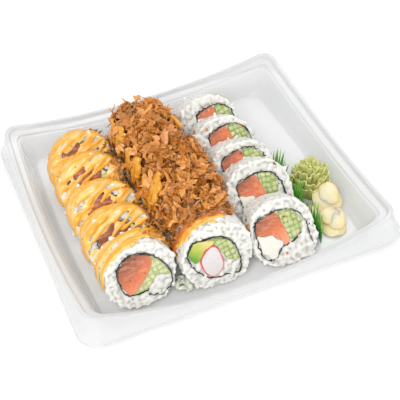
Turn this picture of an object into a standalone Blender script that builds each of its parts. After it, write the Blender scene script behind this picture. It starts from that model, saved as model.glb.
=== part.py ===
"""A clear takeaway tray holding three rows of cut sushi rolls and a garnish.

Units are metres, and named sizes are millimetres times MM. +Z is up. The origin lies
under the middle of the tray, on the surface that it stands on. +X runs along the front
side, and +Y runs from the front side to the back.
"""

import math
import random

import bmesh
import bpy
from mathutils import Matrix, Vector, noise

MM = 0.001
GAP = 0.35 * MM  # clearance between pieces that touch

# The tray: one formed sheet, from the lip of its skirt over the rim to the floor.
SHEET = 0.5 * MM
SKIRT_HALF = (101.0 * MM, 93.0 * MM)
SKIRT_FOOT = 9.5 * MM  # height of the skirt's lower edge above the table
SKIRT_DRAFT = 0.31  # inward lean of the skirt for each unit of height
LIP_WIDTH = 1.3 * MM
LIP_RADIUS = 12.6 * MM
RIM_CENTRE = 3.4 * MM  # the rim lies in a shallow dish: its height at the middle
RIM_RISE = (13.4 * MM, 10.8 * MM)  # and its rise towards the ends of X and of Y
RIM_CORNER = 27.5 * MM  # crest height at the corners, which sets where the crest lies
FLOOR_HALF = (81.0 * MM, 76.5 * MM)
FLOOR_BOW = 1.5 * MM
FLOOR_RADIUS = 8.0 * MM
SIDE_STEPS = 8
CORNER_STEPS = 4

# Rim section: step inwards from its outer edge, drop below its crest, corner radius.
RIM_SECTION = (
    (0.0 * MM, 1.2 * MM, 9.0 * MM),
    (0.4 * MM, 0.3 * MM, 8.8 * MM),
    (1.3 * MM, 0.0 * MM, 8.4 * MM),
    (2.2 * MM, 0.4 * MM, 7.9 * MM),
    (3.0 * MM, 2.4 * MM, 7.4 * MM),
    (3.6 * MM, 2.9 * MM, 7.0 * MM),
    (6.4 * MM, 3.9 * MM, 6.0 * MM),
    (6.9 * MM, 5.4 * MM, 5.7 * MM),
    (7.7 * MM, 5.9 * MM, 5.3 * MM),
    (8.5 * MM, 7.6 * MM, 5.0 * MM),
)
# Wall section: share of the way to the floor's edge, share of the wall's height left.
WALL_SECTION = ((0.30, 0.55), (0.55, 0.22), (0.78, 0.06), (1.0, 0.0))

# A roll is cut across, stands or leans back, and is pressed flat where it rests.
ROLL_STEPS = 24
ROLL_SQUARENESS = 2.3
ROLL_EDGE = 1.3 * MM
ROLL_BULGE = 0.5 * MM
ROLL_LUMPS = 0.022  # share of its radius by which a roll is out of round
LUMP_WAVES = 1.7
LUMP_SHIFT = Vector((9.1, 0.0, 3.3))  # step through the noise from one roll to the next

# Rows of rolls, front to back. Each roll: middle of its lower front edge (x, y), how far
# that edge is lifted, lean back in degrees, turn in degrees, width, height, thickness.
ROLLS = {
    "left": (
        (-55.6, -72.0, 2.0, 17, 2, 43.6, 41.0, 19.6),
        (-57.5, -49.2, 6.0, 34, -1, 42.6, 40.0, 18.9),
        (-58.0, -25.4, 6.0, 34, 1, 42.4, 40.0, 20.6),
        (-58.4, 0.8, 6.0, 34, 0, 42.0, 40.0, 19.4),
        (-57.6, 25.4, 6.0, 34, 1, 41.0, 39.0, 20.0),
    ),
    "middle": (
        (-11.2, -75.0, 1.0, 12, 0, 43.4, 43.0, 23.4),
        (-14.0, -48.2, 6.0, 32, 0, 41.0, 40.0, 19.6),
        (-14.6, -23.8, 6.0, 32, 1, 41.0, 40.0, 19.8),
        (-15.0, 0.9, 6.0, 32, -1, 41.0, 40.0, 19.8),
        (-15.4, 25.6, 6.0, 32, 0, 40.6, 39.0, 20.0),
    ),
    "right": (
        (32.2, -77.0, 0.6, 32, 0, 41.6, 41.0, 19.6),
        (32.2, -47.0, 6.0, 34, 1, 42.6, 41.0, 17.2),
        (30.0, -25.6, 6.0, 34, -1, 42.0, 40.0, 20.2),
        (29.8, 0.4, 6.0, 34, 1, 41.2, 40.0, 17.6),
        (28.4, 23.2, 6.0, 34, 0, 40.0, 40.0, 20.0),
    ),
}

# The heap of fried onion lies along the middle row, behind the crest of its first roll.
HEAP_ENDS = (-57.0 * MM, 64.0 * MM)
HEAP_X = (-12.6 * MM, -15.4 * MM)  # middle of its width at the front and at the back
HEAP_HALF_WIDTH = 21.0 * MM
HEAP_FOOT = 27.0 * MM
HEAP_TOP = (45.5 * MM, 49.5 * MM)
HEAP_ENDING = 3.5  # how late the heap closes in towards its ends
HEAP_END_SHARE = 0.30  # share of its section left at each end
HEAP_FULLNESS = (0.8, 0.75)  # powers that fill out its arch across and upwards
HEAP_ROUGH = 2.8 * MM
HEAP_GRAIN = 7.5 * MM
HEAP_RINGS = 23
HEAP_STEPS = 17

# The wasabi is piped: fluted tiers that turn as they rise and close in.
WASABI_AT = (71.0 * MM, -24.0 * MM)
WASABI_RADIUS = 11.6 * MM
WASABI_HEIGHT = 17.0 * MM
WASABI_FLUTES = 9
WASABI_STEPS = 45
# Tier section: share of the height, share of the radius, depth of the flutes.
WASABI_SECTION = (
    (0.00, 0.66, 0.03),
    (0.10, 0.74, 0.04),
    (0.18, 0.92, 0.07),
    (0.34, 1.00, 0.12),
    (0.50, 0.94, 0.13),
    (0.60, 0.80, 0.12),
    (0.68, 0.84, 0.14),
    (0.84, 0.66, 0.17),
    (0.94, 0.42, 0.18),
    (1.00, 0.16, 0.12),
)
WASABI_TWIST = 0.55

# Pickled ginger: thin slices, each folded over on itself and lying on the last.
GINGER_SHEET = 1.1 * MM
GINGER_STEPS = (10, 6)
GINGER_ENDS = 0.98  # share of the half length where a slice is cut off
GINGER_BLUNT = (0.28, 0.35)  # share of its width and of its fold left at the ends
GINGER_WAVE = (3.1, 0.8, 0.09)  # waves along and across a slice, and their share
# Each slice: middle (x, y), height of its lower side, length, width, turn, fold height.
GINGER = (
    (70.6, -61.6, 1.1, 19.6, 17.0, 78, 6.0),
    (73.4, -44.6, 1.1, 14.0, 14.0, 104, 5.0),
    (61.8, -45.0, 1.1, 9.0, 5.4, 84, 2.4),
)

# The leaf divider: a wavy strip of thin green sheet, cut into pointed blades.
LEAF_SHEET = 0.4 * MM
LEAF_ENDS = (-72.0 * MM, 2.0 * MM)
LEAF_X = 56.0 * MM
LEAF_WAVE = 1.2 * MM
LEAF_WAVES = 1.6
LEAF_LEAN = 0.10
LEAF_BAND = 7.0 * MM
LEAF_BLADES = 22
LEAF_TIPS = (25.0 * MM, 19.0 * MM, 28.0 * MM, 16.0 * MM, 22.0 * MM)  # heights, in turn
LEAF_UNEVEN = 1.0 * MM
LEAF_WAIST = (0.55, 0.26)  # share of a blade's height and width where it starts to point


def clear_scene():
    """Take away whatever the file starts with."""
    for thing in list(bpy.data.objects):
        bpy.data.objects.remove(thing, do_unlink=True)


def make_material(name, colour, roughness, alpha=1.0, transmission=0.0):
    """A Principled material with the sub-part's own colour and polish."""
    made = bpy.data.materials.new(name)
    made.use_nodes = True
    shader = made.node_tree.nodes["Principled BSDF"]
    shader.inputs["Base Color"].default_value = (*colour, 1.0)
    shader.inputs["Roughness"].default_value = roughness
    shader.inputs["Metallic"].default_value = 0.0
    shader.inputs["Alpha"].default_value = alpha
    shader.inputs["Transmission Weight"].default_value = transmission
    made.diffuse_color = (*colour, alpha)
    return made


def add_piece(name, points, faces, look):
    """Make one object from points and faces, with its faces turned outwards."""
    mesh = bpy.data.meshes.new(name)
    mesh.from_pydata([tuple(point) for point in points], [], faces)
    mesh.validate()
    work = bmesh.new()
    work.from_mesh(mesh)
    bmesh.ops.recalc_face_normals(work, faces=work.faces[:])
    work.to_mesh(mesh)
    work.free()
    piece = bpy.data.objects.new(name, mesh)
    bpy.context.scene.collection.objects.link(piece)
    mesh.materials.append(look)
    mesh.shade_smooth()
    mesh.set_sharp_from_angle(angle=math.radians(40))
    return piece


def bridge(rings, closed_ends=True):
    """Faces that join rings of equal length one after another, with the ends filled."""
    count = len(rings[0])
    points = [point for ring in rings for point in ring]
    faces = []
    for row in range(len(rings) - 1):
        low = row * count
        high = low + count
        for step in range(count):
            after = (step + 1) % count
            faces.append((low + step, low + after, high + after, high + step))
    if closed_ends:
        last = (len(rings) - 1) * count
        faces.append(tuple(reversed(range(count))))
        faces.append(tuple(range(last, last + count)))
    return points, faces


# ---------------------------------------------------------------- tray


def tray_stations():
    """Places around the tray, the same for every ring of the sheet.

    A station names its kind, side or corner, and its quarter of the way round. On a side
    it holds the share along the straight part from its middle, from -1 to 1. On a corner
    it holds the share of the arc, and the direction that the arc has turned to.
    """
    stations = []
    for quarter in range(4):
        turn = quarter * math.pi / 2
        for step in range(SIDE_STEPS):
            stations.append(("side", quarter, 2 * step / SIDE_STEPS - 1, turn))
        for step in range(CORNER_STEPS):
            share = step / CORNER_STEPS
            stations.append(("corner", quarter, share, turn + share * math.pi / 2))
    return stations


def place(station, half_x, half_y, radius, bow=0.0):
    """Plan position of a station on a rounded rectangle whose sides may bow outwards."""
    kind, quarter, share, turn = station
    straight_x = half_x - radius
    straight_y = half_y - radius
    swell = bow * (1 - share * share)
    if kind == "side":
        return (
            Vector((share * straight_x, -half_y - swell)),
            Vector((half_x + swell, share * straight_y)),
            Vector((-share * straight_x, half_y + swell)),
            Vector((-half_x - swell, -share * straight_y)),
        )[quarter]
    centre = (
        Vector((straight_x, -straight_y)),
        Vector((straight_x, straight_y)),
        Vector((-straight_x, straight_y)),
        Vector((-straight_x, -straight_y)),
    )[quarter]
    angle = turn - math.pi / 2
    return centre + radius * Vector((math.cos(angle), math.sin(angle)))


def rim_height(station):
    """Height of the rim's crest, which dips between the corners."""
    shrink = SKIRT_DRAFT * (RIM_CORNER - SKIRT_FOOT)
    half_x = SKIRT_HALF[0] - shrink
    half_y = SKIRT_HALF[1] - shrink
    spot = place(station, half_x, half_y, RIM_SECTION[0][2])
    rise_x = RIM_RISE[0] * (spot.x / half_x) ** 2
    rise_y = RIM_RISE[1] * (spot.y / half_y) ** 2
    return RIM_CENTRE + rise_x + rise_y


def tray_rings():
    """Rings of the sheet's upper side, from the lip's edge to the floor's edge."""
    stations = tray_stations()
    lip_height = SKIRT_FOOT + SHEET
    rings = []
    for inset in (0.0, LIP_WIDTH):
        ring = []
        for station in stations:
            half_x = SKIRT_HALF[0] - inset
            half_y = SKIRT_HALF[1] - inset
            spot = place(station, half_x, half_y, LIP_RADIUS - inset)
            ring.append(Vector((spot.x, spot.y, lip_height)))
        rings.append(ring)
    for inward, drop, radius in RIM_SECTION:
        ring = []
        for station in stations:
            crest = rim_height(station)
            inset = SKIRT_DRAFT * (crest - SKIRT_FOOT) + inward
            half_x = SKIRT_HALF[0] - inset
            half_y = SKIRT_HALF[1] - inset
            spot = place(station, half_x, half_y, radius)
            ring.append(Vector((spot.x, spot.y, crest - drop)))
        rings.append(ring)
    inner = rings[-1]
    for across, left in WALL_SECTION:
        ring = []
        for station, start in zip(stations, inner):
            edge = place(station, *FLOOR_HALF, FLOOR_RADIUS, FLOOR_BOW)
            end = Vector((edge.x, edge.y, SHEET))
            spot = start.lerp(end, across)
            spot.z = SHEET + (start.z - SHEET) * left
            ring.append(spot)
        rings.append(ring)
    return rings


def build_tray(look):
    """The tray's sheet, thickened downwards and inwards."""
    rings = tray_rings()
    points, faces = bridge(rings, closed_ends=False)
    count = len(rings[0])
    last = (len(rings) - 1) * count
    faces.append(tuple(range(last, last + count)))
    tray = add_piece("tray", points, faces, look)
    if tray.data.polygons[-1].normal.z < 0:
        tray.data.flip_normals()
    thicken = tray.modifiers.new("sheet", "SOLIDIFY")
    thicken.thickness = SHEET
    thicken.offset = -1.0
    thicken.use_even_offset = True
    return tray


# ---------------------------------------------------------------- rolls


def outline(width, height, seed):
    """A lumpy rounded section standing on the line z = 0, as (x, z) pairs."""
    points = []
    power = 2 / ROLL_SQUARENESS
    for step in range(ROLL_STEPS):
        angle = 2 * math.pi * step / ROLL_STEPS
        cosine = math.cos(angle)
        sine = math.sin(angle)
        x = math.copysign(abs(cosine) ** power, cosine) * width / 2
        z = math.copysign(abs(sine) ** power, sine) * height / 2
        around = Vector((cosine, sine, 0)) * LUMP_WAVES
        bump = noise.noise(around + seed * LUMP_SHIFT)
        scale = 1 - ROLL_LUMPS + 2 * ROLL_LUMPS * bump
        points.append((x * scale, z * scale + height / 2))
    return points


def roll_rings(size, seed, grow=0.0):
    """Rings of one roll in its own frame: x across, y into the roll, z up its face."""
    width, height, thickness = size
    section = outline(width, height, seed)
    middle = height / 2
    stops = (
        (-grow, -ROLL_EDGE),
        (ROLL_EDGE, 0.0),
        (thickness / 2, ROLL_BULGE),
        (thickness - ROLL_EDGE, 0.0),
        (thickness + grow, -ROLL_EDGE),
    )
    rings = []
    for depth, swell in stops:
        ring = []
        for x, z in section:
            reach = math.hypot(x, z - middle)
            scale = (reach + swell + grow) / reach
            ring.append(Vector((x * scale, depth, middle + (z - middle) * scale)))
        rings.append(ring)
    return rings


def roll_frame(roll):
    """Where one roll stands, as a matrix from its own frame to the tray's."""
    x, y, lift, lean, turn = roll[:5]
    foot = Vector((x * MM, y * MM, SHEET + GAP + lift * MM))
    leaned = Matrix.Rotation(-math.radians(lean), 4, "X")
    turned = Matrix.Rotation(math.radians(turn), 4, "Z")
    return Matrix.Translation(foot) @ turned @ leaned


def press_flat(mesh, height):
    """Cut away what lies below a height and close the cut with one flat face."""
    work = bmesh.new()
    work.from_mesh(mesh)
    everything = work.verts[:] + work.edges[:] + work.faces[:]
    bmesh.ops.bisect_plane(
        work,
        geom=everything,
        dist=0.00001,
        plane_co=(0, 0, height),
        plane_no=(0, 0, 1),
        clear_inner=True,
    )
    open_edges = [edge for edge in work.edges if edge.is_boundary]
    if open_edges:
        bmesh.ops.contextual_create(work, geom=open_edges)
    bmesh.ops.remove_doubles(work, verts=work.verts[:], dist=0.00002)
    bmesh.ops.recalc_face_normals(work, faces=work.faces[:])
    work.to_mesh(mesh)
    work.free()


def build_roll(name, roll, seed, look, grow=0.0):
    """One cut roll, pressed flat on the tray's floor."""
    size = [value * MM for value in roll[5:]]
    frame = roll_frame(roll)
    rings = [[frame @ point for point in ring] for ring in roll_rings(size, seed, grow)]
    points, faces = bridge(rings)
    piece = add_piece(name, points, faces, look)
    press_flat(piece.data, SHEET + GAP - grow)
    return piece


def build_rolls(looks):
    """All three rows, named by row and by place from the front."""
    made = []
    for row, (side, rolls) in enumerate(ROLLS.items()):
        for number, roll in enumerate(rolls, start=1):
            seed = 10 * row + number
            made.append(build_roll(f"roll_{side}_{number}", roll, seed, looks[side]))
    return made


# ---------------------------------------------------------------- fried onion


def heap_rings():
    """Arched rings of the heap, rough on top and closing in at both ends."""
    rings = []
    for row in range(HEAP_RINGS):
        share = row / (HEAP_RINGS - 1)
        y = HEAP_ENDS[0] + share * (HEAP_ENDS[1] - HEAP_ENDS[0])
        closing = math.sqrt(max(0.0, 1 - abs(2 * share - 1) ** HEAP_ENDING))
        closing = HEAP_END_SHARE + (1 - HEAP_END_SHARE) * closing
        half_width = HEAP_HALF_WIDTH * closing
        middle = HEAP_X[0] + share * (HEAP_X[1] - HEAP_X[0])
        top = HEAP_TOP[0] + share * (HEAP_TOP[1] - HEAP_TOP[0])
        rise = (top - HEAP_FOOT) * closing
        ring = []
        for step in range(HEAP_STEPS):
            angle = math.pi * step / (HEAP_STEPS - 1)
            cosine = math.cos(angle)
            sine = math.sin(angle)
            across = math.copysign(abs(cosine) ** HEAP_FULLNESS[0], cosine)
            upward = sine ** HEAP_FULLNESS[1]
            spot = Vector((middle + across * half_width, y, HEAP_FOOT + upward * rise))
            rough = HEAP_ROUGH * sine * noise.noise(spot / HEAP_GRAIN)
            ring.append(spot + rough * Vector((across / 2, 0, 1)))
        rings.append(ring)
    return rings


def build_onions(look):
    """The heap of fried onion, with hollows beneath where the rolls push up into it."""
    points, faces = bridge(heap_rings())
    heap = add_piece("fried_onions", points, faces, look)
    for number, roll in enumerate(ROLLS["middle"], start=1):
        cutter = build_roll(f"onion_hollow_{number}", roll, 10 + number, look, grow=GAP)
        cutter.hide_render = True
        cutter.display_type = "WIRE"
        cut = heap.modifiers.new(cutter.name, "BOOLEAN")
        cut.operation = "DIFFERENCE"
        cut.object = cutter
    return heap


# ---------------------------------------------------------------- garnish


def build_wasabi(look):
    """The piped mound of wasabi."""
    rings = []
    foot = SHEET + GAP
    for height, reach, depth in WASABI_SECTION:
        ring = []
        for step in range(WASABI_STEPS):
            angle = 2 * math.pi * step / WASABI_STEPS
            flute = math.cos(WASABI_FLUTES * (angle + WASABI_TWIST * height))
            radius = WASABI_RADIUS * reach * (1 + depth * flute)
            x = WASABI_AT[0] + radius * math.cos(angle)
            y = WASABI_AT[1] + radius * math.sin(angle)
            ring.append(Vector((x, y, foot + height * WASABI_HEIGHT)))
        rings.append(ring)
    points, faces = bridge(rings)
    return add_piece("wasabi", points, faces, look)


def ginger_point(slice_, along, across):
    """A point of one slice's lower side: a leaf that rises in the middle like a fold."""
    x, y, foot, length, width, turn, fold = slice_
    taper = math.sqrt(1 - along * along)
    half = width / 2 * (GINGER_BLUNT[0] + (1 - GINGER_BLUNT[0]) * taper)
    arch = (1 - across * across) * (GINGER_BLUNT[1] + (1 - GINGER_BLUNT[1]) * taper)
    wave = math.sin(GINGER_WAVE[0] * along + GINGER_WAVE[1] * across + x)
    rise = fold * arch * (1 + GINGER_WAVE[2] * wave)
    local = Vector((along * length / 2, across * half, foot + rise))
    turned = Matrix.Rotation(math.radians(turn), 3, "Z") @ local
    return Vector((x + turned.x, y + turned.y, turned.z)) * MM


def build_ginger(look):
    """Folded slices of pickled ginger."""
    made = []
    long_steps, cross_steps = GINGER_STEPS
    for number, slice_ in enumerate(GINGER, start=1):
        points = []
        faces = []
        for row in range(long_steps + 1):
            for column in range(cross_steps + 1):
                along = GINGER_ENDS * (2 * row / long_steps - 1)
                across = 2 * column / cross_steps - 1
                points.append(ginger_point(slice_, along, across))
        for row in range(long_steps):
            for column in range(cross_steps):
                first = row * (cross_steps + 1) + column
                second = first + cross_steps + 1
                faces.append((first, first + 1, second + 1, second))
        piece = add_piece(f"ginger_{number}", points, faces, look)
        thicken = piece.modifiers.new("sheet", "SOLIDIFY")
        thicken.thickness = GINGER_SHEET
        thicken.offset = 0.0
        made.append(piece)
    return made


def leaf_point(along, height):
    """A point of the leaf divider from its run along the strip and its height."""
    y = LEAF_ENDS[0] + along * (LEAF_ENDS[1] - LEAF_ENDS[0])
    wave = LEAF_WAVE * math.sin(2 * math.pi * LEAF_WAVES * along)
    return Vector((LEAF_X + wave + LEAF_LEAN * height, y, SHEET + GAP + height))


def build_leaf(look):
    """The strip of pointed blades that stands between the rolls and the garnish."""
    rng = random.Random(5)
    points = []
    faces = []
    for blade in range(LEAF_BLADES + 1):
        share = blade / LEAF_BLADES
        points.append(leaf_point(share, 0.0))
        points.append(leaf_point(share, LEAF_BAND))
    for blade in range(LEAF_BLADES):
        left = 2 * blade
        right = left + 2
        faces.append((left, right, right + 1, left + 1))
        tip = LEAF_TIPS[blade % len(LEAF_TIPS)] + rng.uniform(-LEAF_UNEVEN, LEAF_UNEVEN)
        middle = (blade + 0.5) / LEAF_BLADES
        quarter = LEAF_WAIST[1] / LEAF_BLADES
        waist = LEAF_BAND + LEAF_WAIST[0] * (tip - LEAF_BAND)
        first = len(points)
        points.append(leaf_point(middle - quarter, waist))
        points.append(leaf_point(middle + quarter, waist))
        points.append(leaf_point(middle, tip))
        faces.append((left + 1, right + 1, first + 1, first))
        faces.append((first, first + 1, first + 2))
    piece = add_piece("leaf_divider", points, faces, look)
    thicken = piece.modifiers.new("sheet", "SOLIDIFY")
    thicken.thickness = LEAF_SHEET
    thicken.offset = 0.0
    return piece


def main():
    """Build every piece of the filled tray."""
    clear_scene()
    clear = make_material("clear_sheet", (0.92, 0.93, 0.94), 0.12, 0.35, 0.8)
    rice = make_material("rice", (0.86, 0.85, 0.80), 0.6)
    sauced = make_material("sauced_rice", (0.93, 0.60, 0.17), 0.35)
    glazed = make_material("glazed_rice", (0.88, 0.72, 0.45), 0.4)
    build_tray(clear)
    build_rolls({"left": sauced, "middle": glazed, "right": rice})
    build_onions(make_material("fried_onion", (0.55, 0.28, 0.10), 0.6))
    build_wasabi(make_material("wasabi", (0.52, 0.56, 0.22), 0.5))
    build_ginger(make_material("ginger", (0.93, 0.80, 0.50), 0.3))
    build_leaf(make_material("leaf_sheet", (0.05, 0.45, 0.08), 0.35))


main()
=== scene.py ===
"""The looks of a filled takeaway sushi tray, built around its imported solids.

The tray is one clear formed sheet. It holds three rows of cut rolls with the rice outside:
salmon and cucumber under stripes of orange sauce, crab stick and avocado under a heap of
fried onion, and salmon with cream cheese. A green leaf divider, a ruffled mound of wasabi
and folded slices of pickled ginger fill the corner. Units are metres, +Z is up, and every
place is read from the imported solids.
"""

import math
import random

import bmesh
import bpy
import numpy as np
from mathutils import Matrix, Vector
from mathutils.bvhtree import BVHTree


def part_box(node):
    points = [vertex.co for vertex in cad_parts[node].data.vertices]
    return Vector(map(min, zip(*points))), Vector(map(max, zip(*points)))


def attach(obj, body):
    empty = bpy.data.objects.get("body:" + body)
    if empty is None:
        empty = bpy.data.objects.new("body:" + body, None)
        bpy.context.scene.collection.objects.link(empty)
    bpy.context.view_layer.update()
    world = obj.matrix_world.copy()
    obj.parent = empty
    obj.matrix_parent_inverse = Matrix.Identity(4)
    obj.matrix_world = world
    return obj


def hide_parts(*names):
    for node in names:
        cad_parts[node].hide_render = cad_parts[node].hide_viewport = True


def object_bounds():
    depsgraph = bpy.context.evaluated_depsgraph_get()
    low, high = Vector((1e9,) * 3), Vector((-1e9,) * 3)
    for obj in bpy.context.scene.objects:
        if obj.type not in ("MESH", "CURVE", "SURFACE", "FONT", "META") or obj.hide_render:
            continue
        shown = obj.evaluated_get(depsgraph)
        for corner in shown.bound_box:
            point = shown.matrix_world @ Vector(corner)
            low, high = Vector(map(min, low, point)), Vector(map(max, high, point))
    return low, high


bl_info = {
    "name": "Filled sushi tray",
    "version": (1, 0, 0),
    "blender": (4, 5, 0),
    "location": "3D View > Sidebar > Sushi",
    "description": "Builds a clear takeaway tray with rows of cut rolls and a garnish",
    "category": "Object",
}


MM = 0.001
TURN = 2 * math.pi
BODY = "root"

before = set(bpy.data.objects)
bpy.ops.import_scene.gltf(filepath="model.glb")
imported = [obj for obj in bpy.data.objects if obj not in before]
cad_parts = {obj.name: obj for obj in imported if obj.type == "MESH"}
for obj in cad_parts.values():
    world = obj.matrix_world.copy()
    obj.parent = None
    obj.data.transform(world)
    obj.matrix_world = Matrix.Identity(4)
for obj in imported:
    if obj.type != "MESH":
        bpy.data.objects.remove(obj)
CAD_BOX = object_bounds()

ROWS = ("left", "middle", "right")
ROLLS_IN_ROW = 5
ROW_SLOTS = {"left": "sauced_rice", "middle": "glazed_rice", "right": "rice"}

# ---------------------------------------------------------------- settings


def length_setting(name, description, default):
    """A length that a user may change."""
    return bpy.props.FloatProperty(
        name=name, description=description, default=default, unit="LENGTH")


def colour_setting(name, description, default):
    """A colour that a user may change."""
    return bpy.props.FloatVectorProperty(
        name=name, description=description, default=default, size=3, min=0, max=1,
        subtype="COLOR")


class SheetSettings(bpy.types.PropertyGroup):
    """The formed plastic sheet of the tray."""

    sheet: length_setting("Sheet", "Thickness of the plastic", 0.5 * MM)
    tone: colour_setting("Tone", "Milky colour of the clear plastic", (0.82, 0.825, 0.83))
    haze: bpy.props.FloatProperty(
        name="Haze", description="How much the sheet hides, seen square on",
        default=0.34, min=0, max=1, subtype="FACTOR")
    edge_haze: bpy.props.FloatProperty(
        name="Edge haze", description="How much the sheet hides, seen along its surface",
        default=0.56, min=0, max=1, subtype="FACTOR")


class RiceSettings(bpy.types.PropertyGroup):
    """Cooked rice and the seaweed sheet rolled into it."""

    grain_length: length_setting("Grain length", "Length of a cooked grain", 5.2 * MM)
    grain_width: length_setting("Grain width", "Width of a cooked grain", 2.7 * MM)
    colour: colour_setting("Rice", "Colour of cooked rice", (0.77, 0.76, 0.71))
    nori: length_setting("Seaweed", "Thickness of the seaweed sheet", 0.46 * MM)
    nori_colour: colour_setting("Seaweed colour", "Colour of the seaweed", (0.012, 0.015, 0.009))


class FillingSettings(bpy.types.PropertyGroup):
    """What is rolled inside."""

    salmon: colour_setting("Salmon", "Colour of raw salmon", (0.745, 0.205, 0.085))
    cucumber: colour_setting("Cucumber", "Colour of cut cucumber", (0.58, 0.62, 0.31))
    avocado: colour_setting("Avocado", "Colour of the avocado's green edge", (0.13, 0.35, 0.03))
    cheese: colour_setting("Cream cheese", "Colour of cream cheese", (0.84, 0.82, 0.74))
    stick: length_setting("Stick", "Width of a cucumber stick", 3.2 * MM)
    proud: length_setting("Proud", "How far fillings stand out of the cut", 0.35 * MM)


class SauceSettings(bpy.types.PropertyGroup):
    """Sauce and glaze drawn over the rolls in stripes."""

    colour: colour_setting("Sauce", "Colour of the orange sauce", (0.94, 0.44, 0.035))
    film: colour_setting("Thin sauce", "Colour of sauce where it lies thin", (0.87, 0.64, 0.26))
    glaze: colour_setting("Glaze", "Colour of the dark glaze", (0.36, 0.06, 0.008))
    pitch: length_setting("Pitch", "Distance between stripes, seen from above", 2.6 * MM)
    width: length_setting("Width", "Width of a stripe", 3.2 * MM)
    slant: bpy.props.FloatProperty(
        name="Slant", description="Direction of the stripes, seen from above",
        default=math.radians(17), subtype="ANGLE")


class OnionSettings(bpy.types.PropertyGroup):
    """Crisp fried onion heaped along the middle row."""

    small_strips: bpy.props.IntProperty(
        name="Small strips", description="Number of small strips in the heap", default=1400, min=10)
    large_strips: bpy.props.IntProperty(
        name="Large strips", description="Number of large strips on top", default=860, min=10)
    length: length_setting("Length", "Usual length of a strip", 8.0 * MM)
    width: length_setting("Width", "Usual width of a strip", 2.9 * MM)
    dark: colour_setting("Dark", "Colour of the darkest strips", (0.13, 0.030, 0.005))
    light: colour_setting("Light", "Colour of the lightest strips", (0.75, 0.30, 0.052))


class GarnishSettings(bpy.types.PropertyGroup):
    """Wasabi, pickled ginger and the leaf divider."""

    wasabi: colour_setting("Wasabi", "Colour of the wasabi", (0.42, 0.44, 0.115))
    ginger: colour_setting("Ginger", "Colour of the pickled ginger", (0.87, 0.655, 0.335))
    leaf: colour_setting("Leaf", "Colour of the leaf divider", (0.012, 0.23, 0.010))
    blades: bpy.props.IntProperty(
        name="Blades", description="Number of blades along the divider", default=42, min=3)


class StageSettings(bpy.types.PropertyGroup):
    """Floor, light and camera."""

    floor: colour_setting("Floor", "Colour of the floor", (0.93, 0.93, 0.93))
    sky: bpy.props.FloatProperty(
        name="Sky", description="Strength of the light from all round", default=0.76, min=0)
    key: bpy.props.FloatProperty(
        name="Key", description="Power of the large light overhead, in watts", default=5.6, min=0)
    distance: length_setting("Distance", "From the camera to its target", 625.9 * MM)
    turn: bpy.props.FloatProperty(
        name="Turn", description="Direction the camera looks in, from +Y towards +X",
        default=math.radians(20.32), subtype="ANGLE")
    tilt: bpy.props.FloatProperty(
        name="Tilt", description="How far the camera looks down", default=math.radians(45.15),
        subtype="ANGLE")
    roll: bpy.props.FloatProperty(
        name="Roll", description="How far the camera is turned about its own axis",
        default=math.radians(3.36), subtype="ANGLE")
    lens: bpy.props.FloatProperty(
        name="Lens", description="Focal length in millimetres", default=90.98, min=1)


GROUPS = {
    "sushi_sheet": SheetSettings,
    "sushi_rice": RiceSettings,
    "sushi_filling": FillingSettings,
    "sushi_sauce": SauceSettings,
    "sushi_onion": OnionSettings,
    "sushi_garnish": GarnishSettings,
    "sushi_stage": StageSettings,
}


# ---------------------------------------------------------------- meshes


class Shape:
    """Points and faces gathered from many bits, with one tint for each point."""

    def __init__(self):
        self.points = []
        self.faces = []
        self.tints = []
        self.count = 0

    def add(self, points, faces, tint=0.5):
        """Join another bit to the shape. Its faces may have any number of corners."""
        points = np.asarray(points, float).reshape(-1, 3)
        faces = faces.tolist() if isinstance(faces, np.ndarray) else faces
        self.points.append(points)
        self.faces.extend([corner + self.count for corner in face] for face in faces)
        self.tints.append(np.broadcast_to(np.asarray(tint, float), (len(points),)))
        self.count += len(points)

    def mesh(self, name):
        """Make a Blender mesh, with the tints as a point attribute."""
        made = bpy.data.meshes.new(name)
        made.from_pydata(np.concatenate(self.points).tolist(), [], self.faces)
        tint = made.attributes.new("tint", "FLOAT", "POINT")
        tint.data.foreach_set("value", np.concatenate(self.tints).astype(np.float32))
        return made


def add_piece(name, mesh, look, slot, nodes=(), sharp=None):
    """Place a mesh as one piece, smooth but for edges sharper than an angle in degrees."""
    piece = bpy.data.objects.new(name, mesh)
    bpy.context.scene.collection.objects.link(piece)
    mesh.materials.clear()
    mesh.materials.append(look)
    mesh.shade_smooth()
    if sharp is not None:
        mesh.set_sharp_from_angle(angle=math.radians(sharp))
    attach(piece, BODY)
    if nodes:
        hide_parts(*nodes)


def grid_faces(rows, columns, close_columns=True, close_rows=False):
    """Quads between rows of points, closed into a ring along either direction."""
    row = np.arange(rows if close_rows else rows - 1)[:, None]
    column = np.arange(columns if close_columns else columns - 1)[None, :]
    next_row = (row + 1) % rows
    next_column = (column + 1) % columns
    quads = np.stack(np.broadcast_arrays(
        row * columns + column, row * columns + next_column,
        next_row * columns + next_column, next_row * columns + column), axis=-1)
    return quads.reshape(-1, 4)


def fan(centre, ring, flip=False):
    """Triangles from one point to a closed ring of points."""
    ring = np.asarray(ring)
    after = np.roll(ring, -1)
    middle = np.full(len(ring), centre)
    order = (middle, after, ring) if flip else (middle, ring, after)
    return np.stack(order, axis=-1)


def capped_faces(rows, sides):
    """Faces of a stack of rings, closed by two more points, before the first and past the last."""
    first, last = np.arange(sides), np.arange((rows - 1) * sides, rows * sides)
    return (grid_faces(rows, sides).tolist() + fan(rows * sides, first, flip=True).tolist()
            + fan(rows * sides + 1, last).tolist())


def triangles(faces):
    """The faces as an array, with each quad split in two."""
    halves = ([face[:3], [face[0], *face[2:]]] if len(face) == 4 else [face] for face in faces)
    return np.array([half for pair in halves for half in pair])


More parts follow.
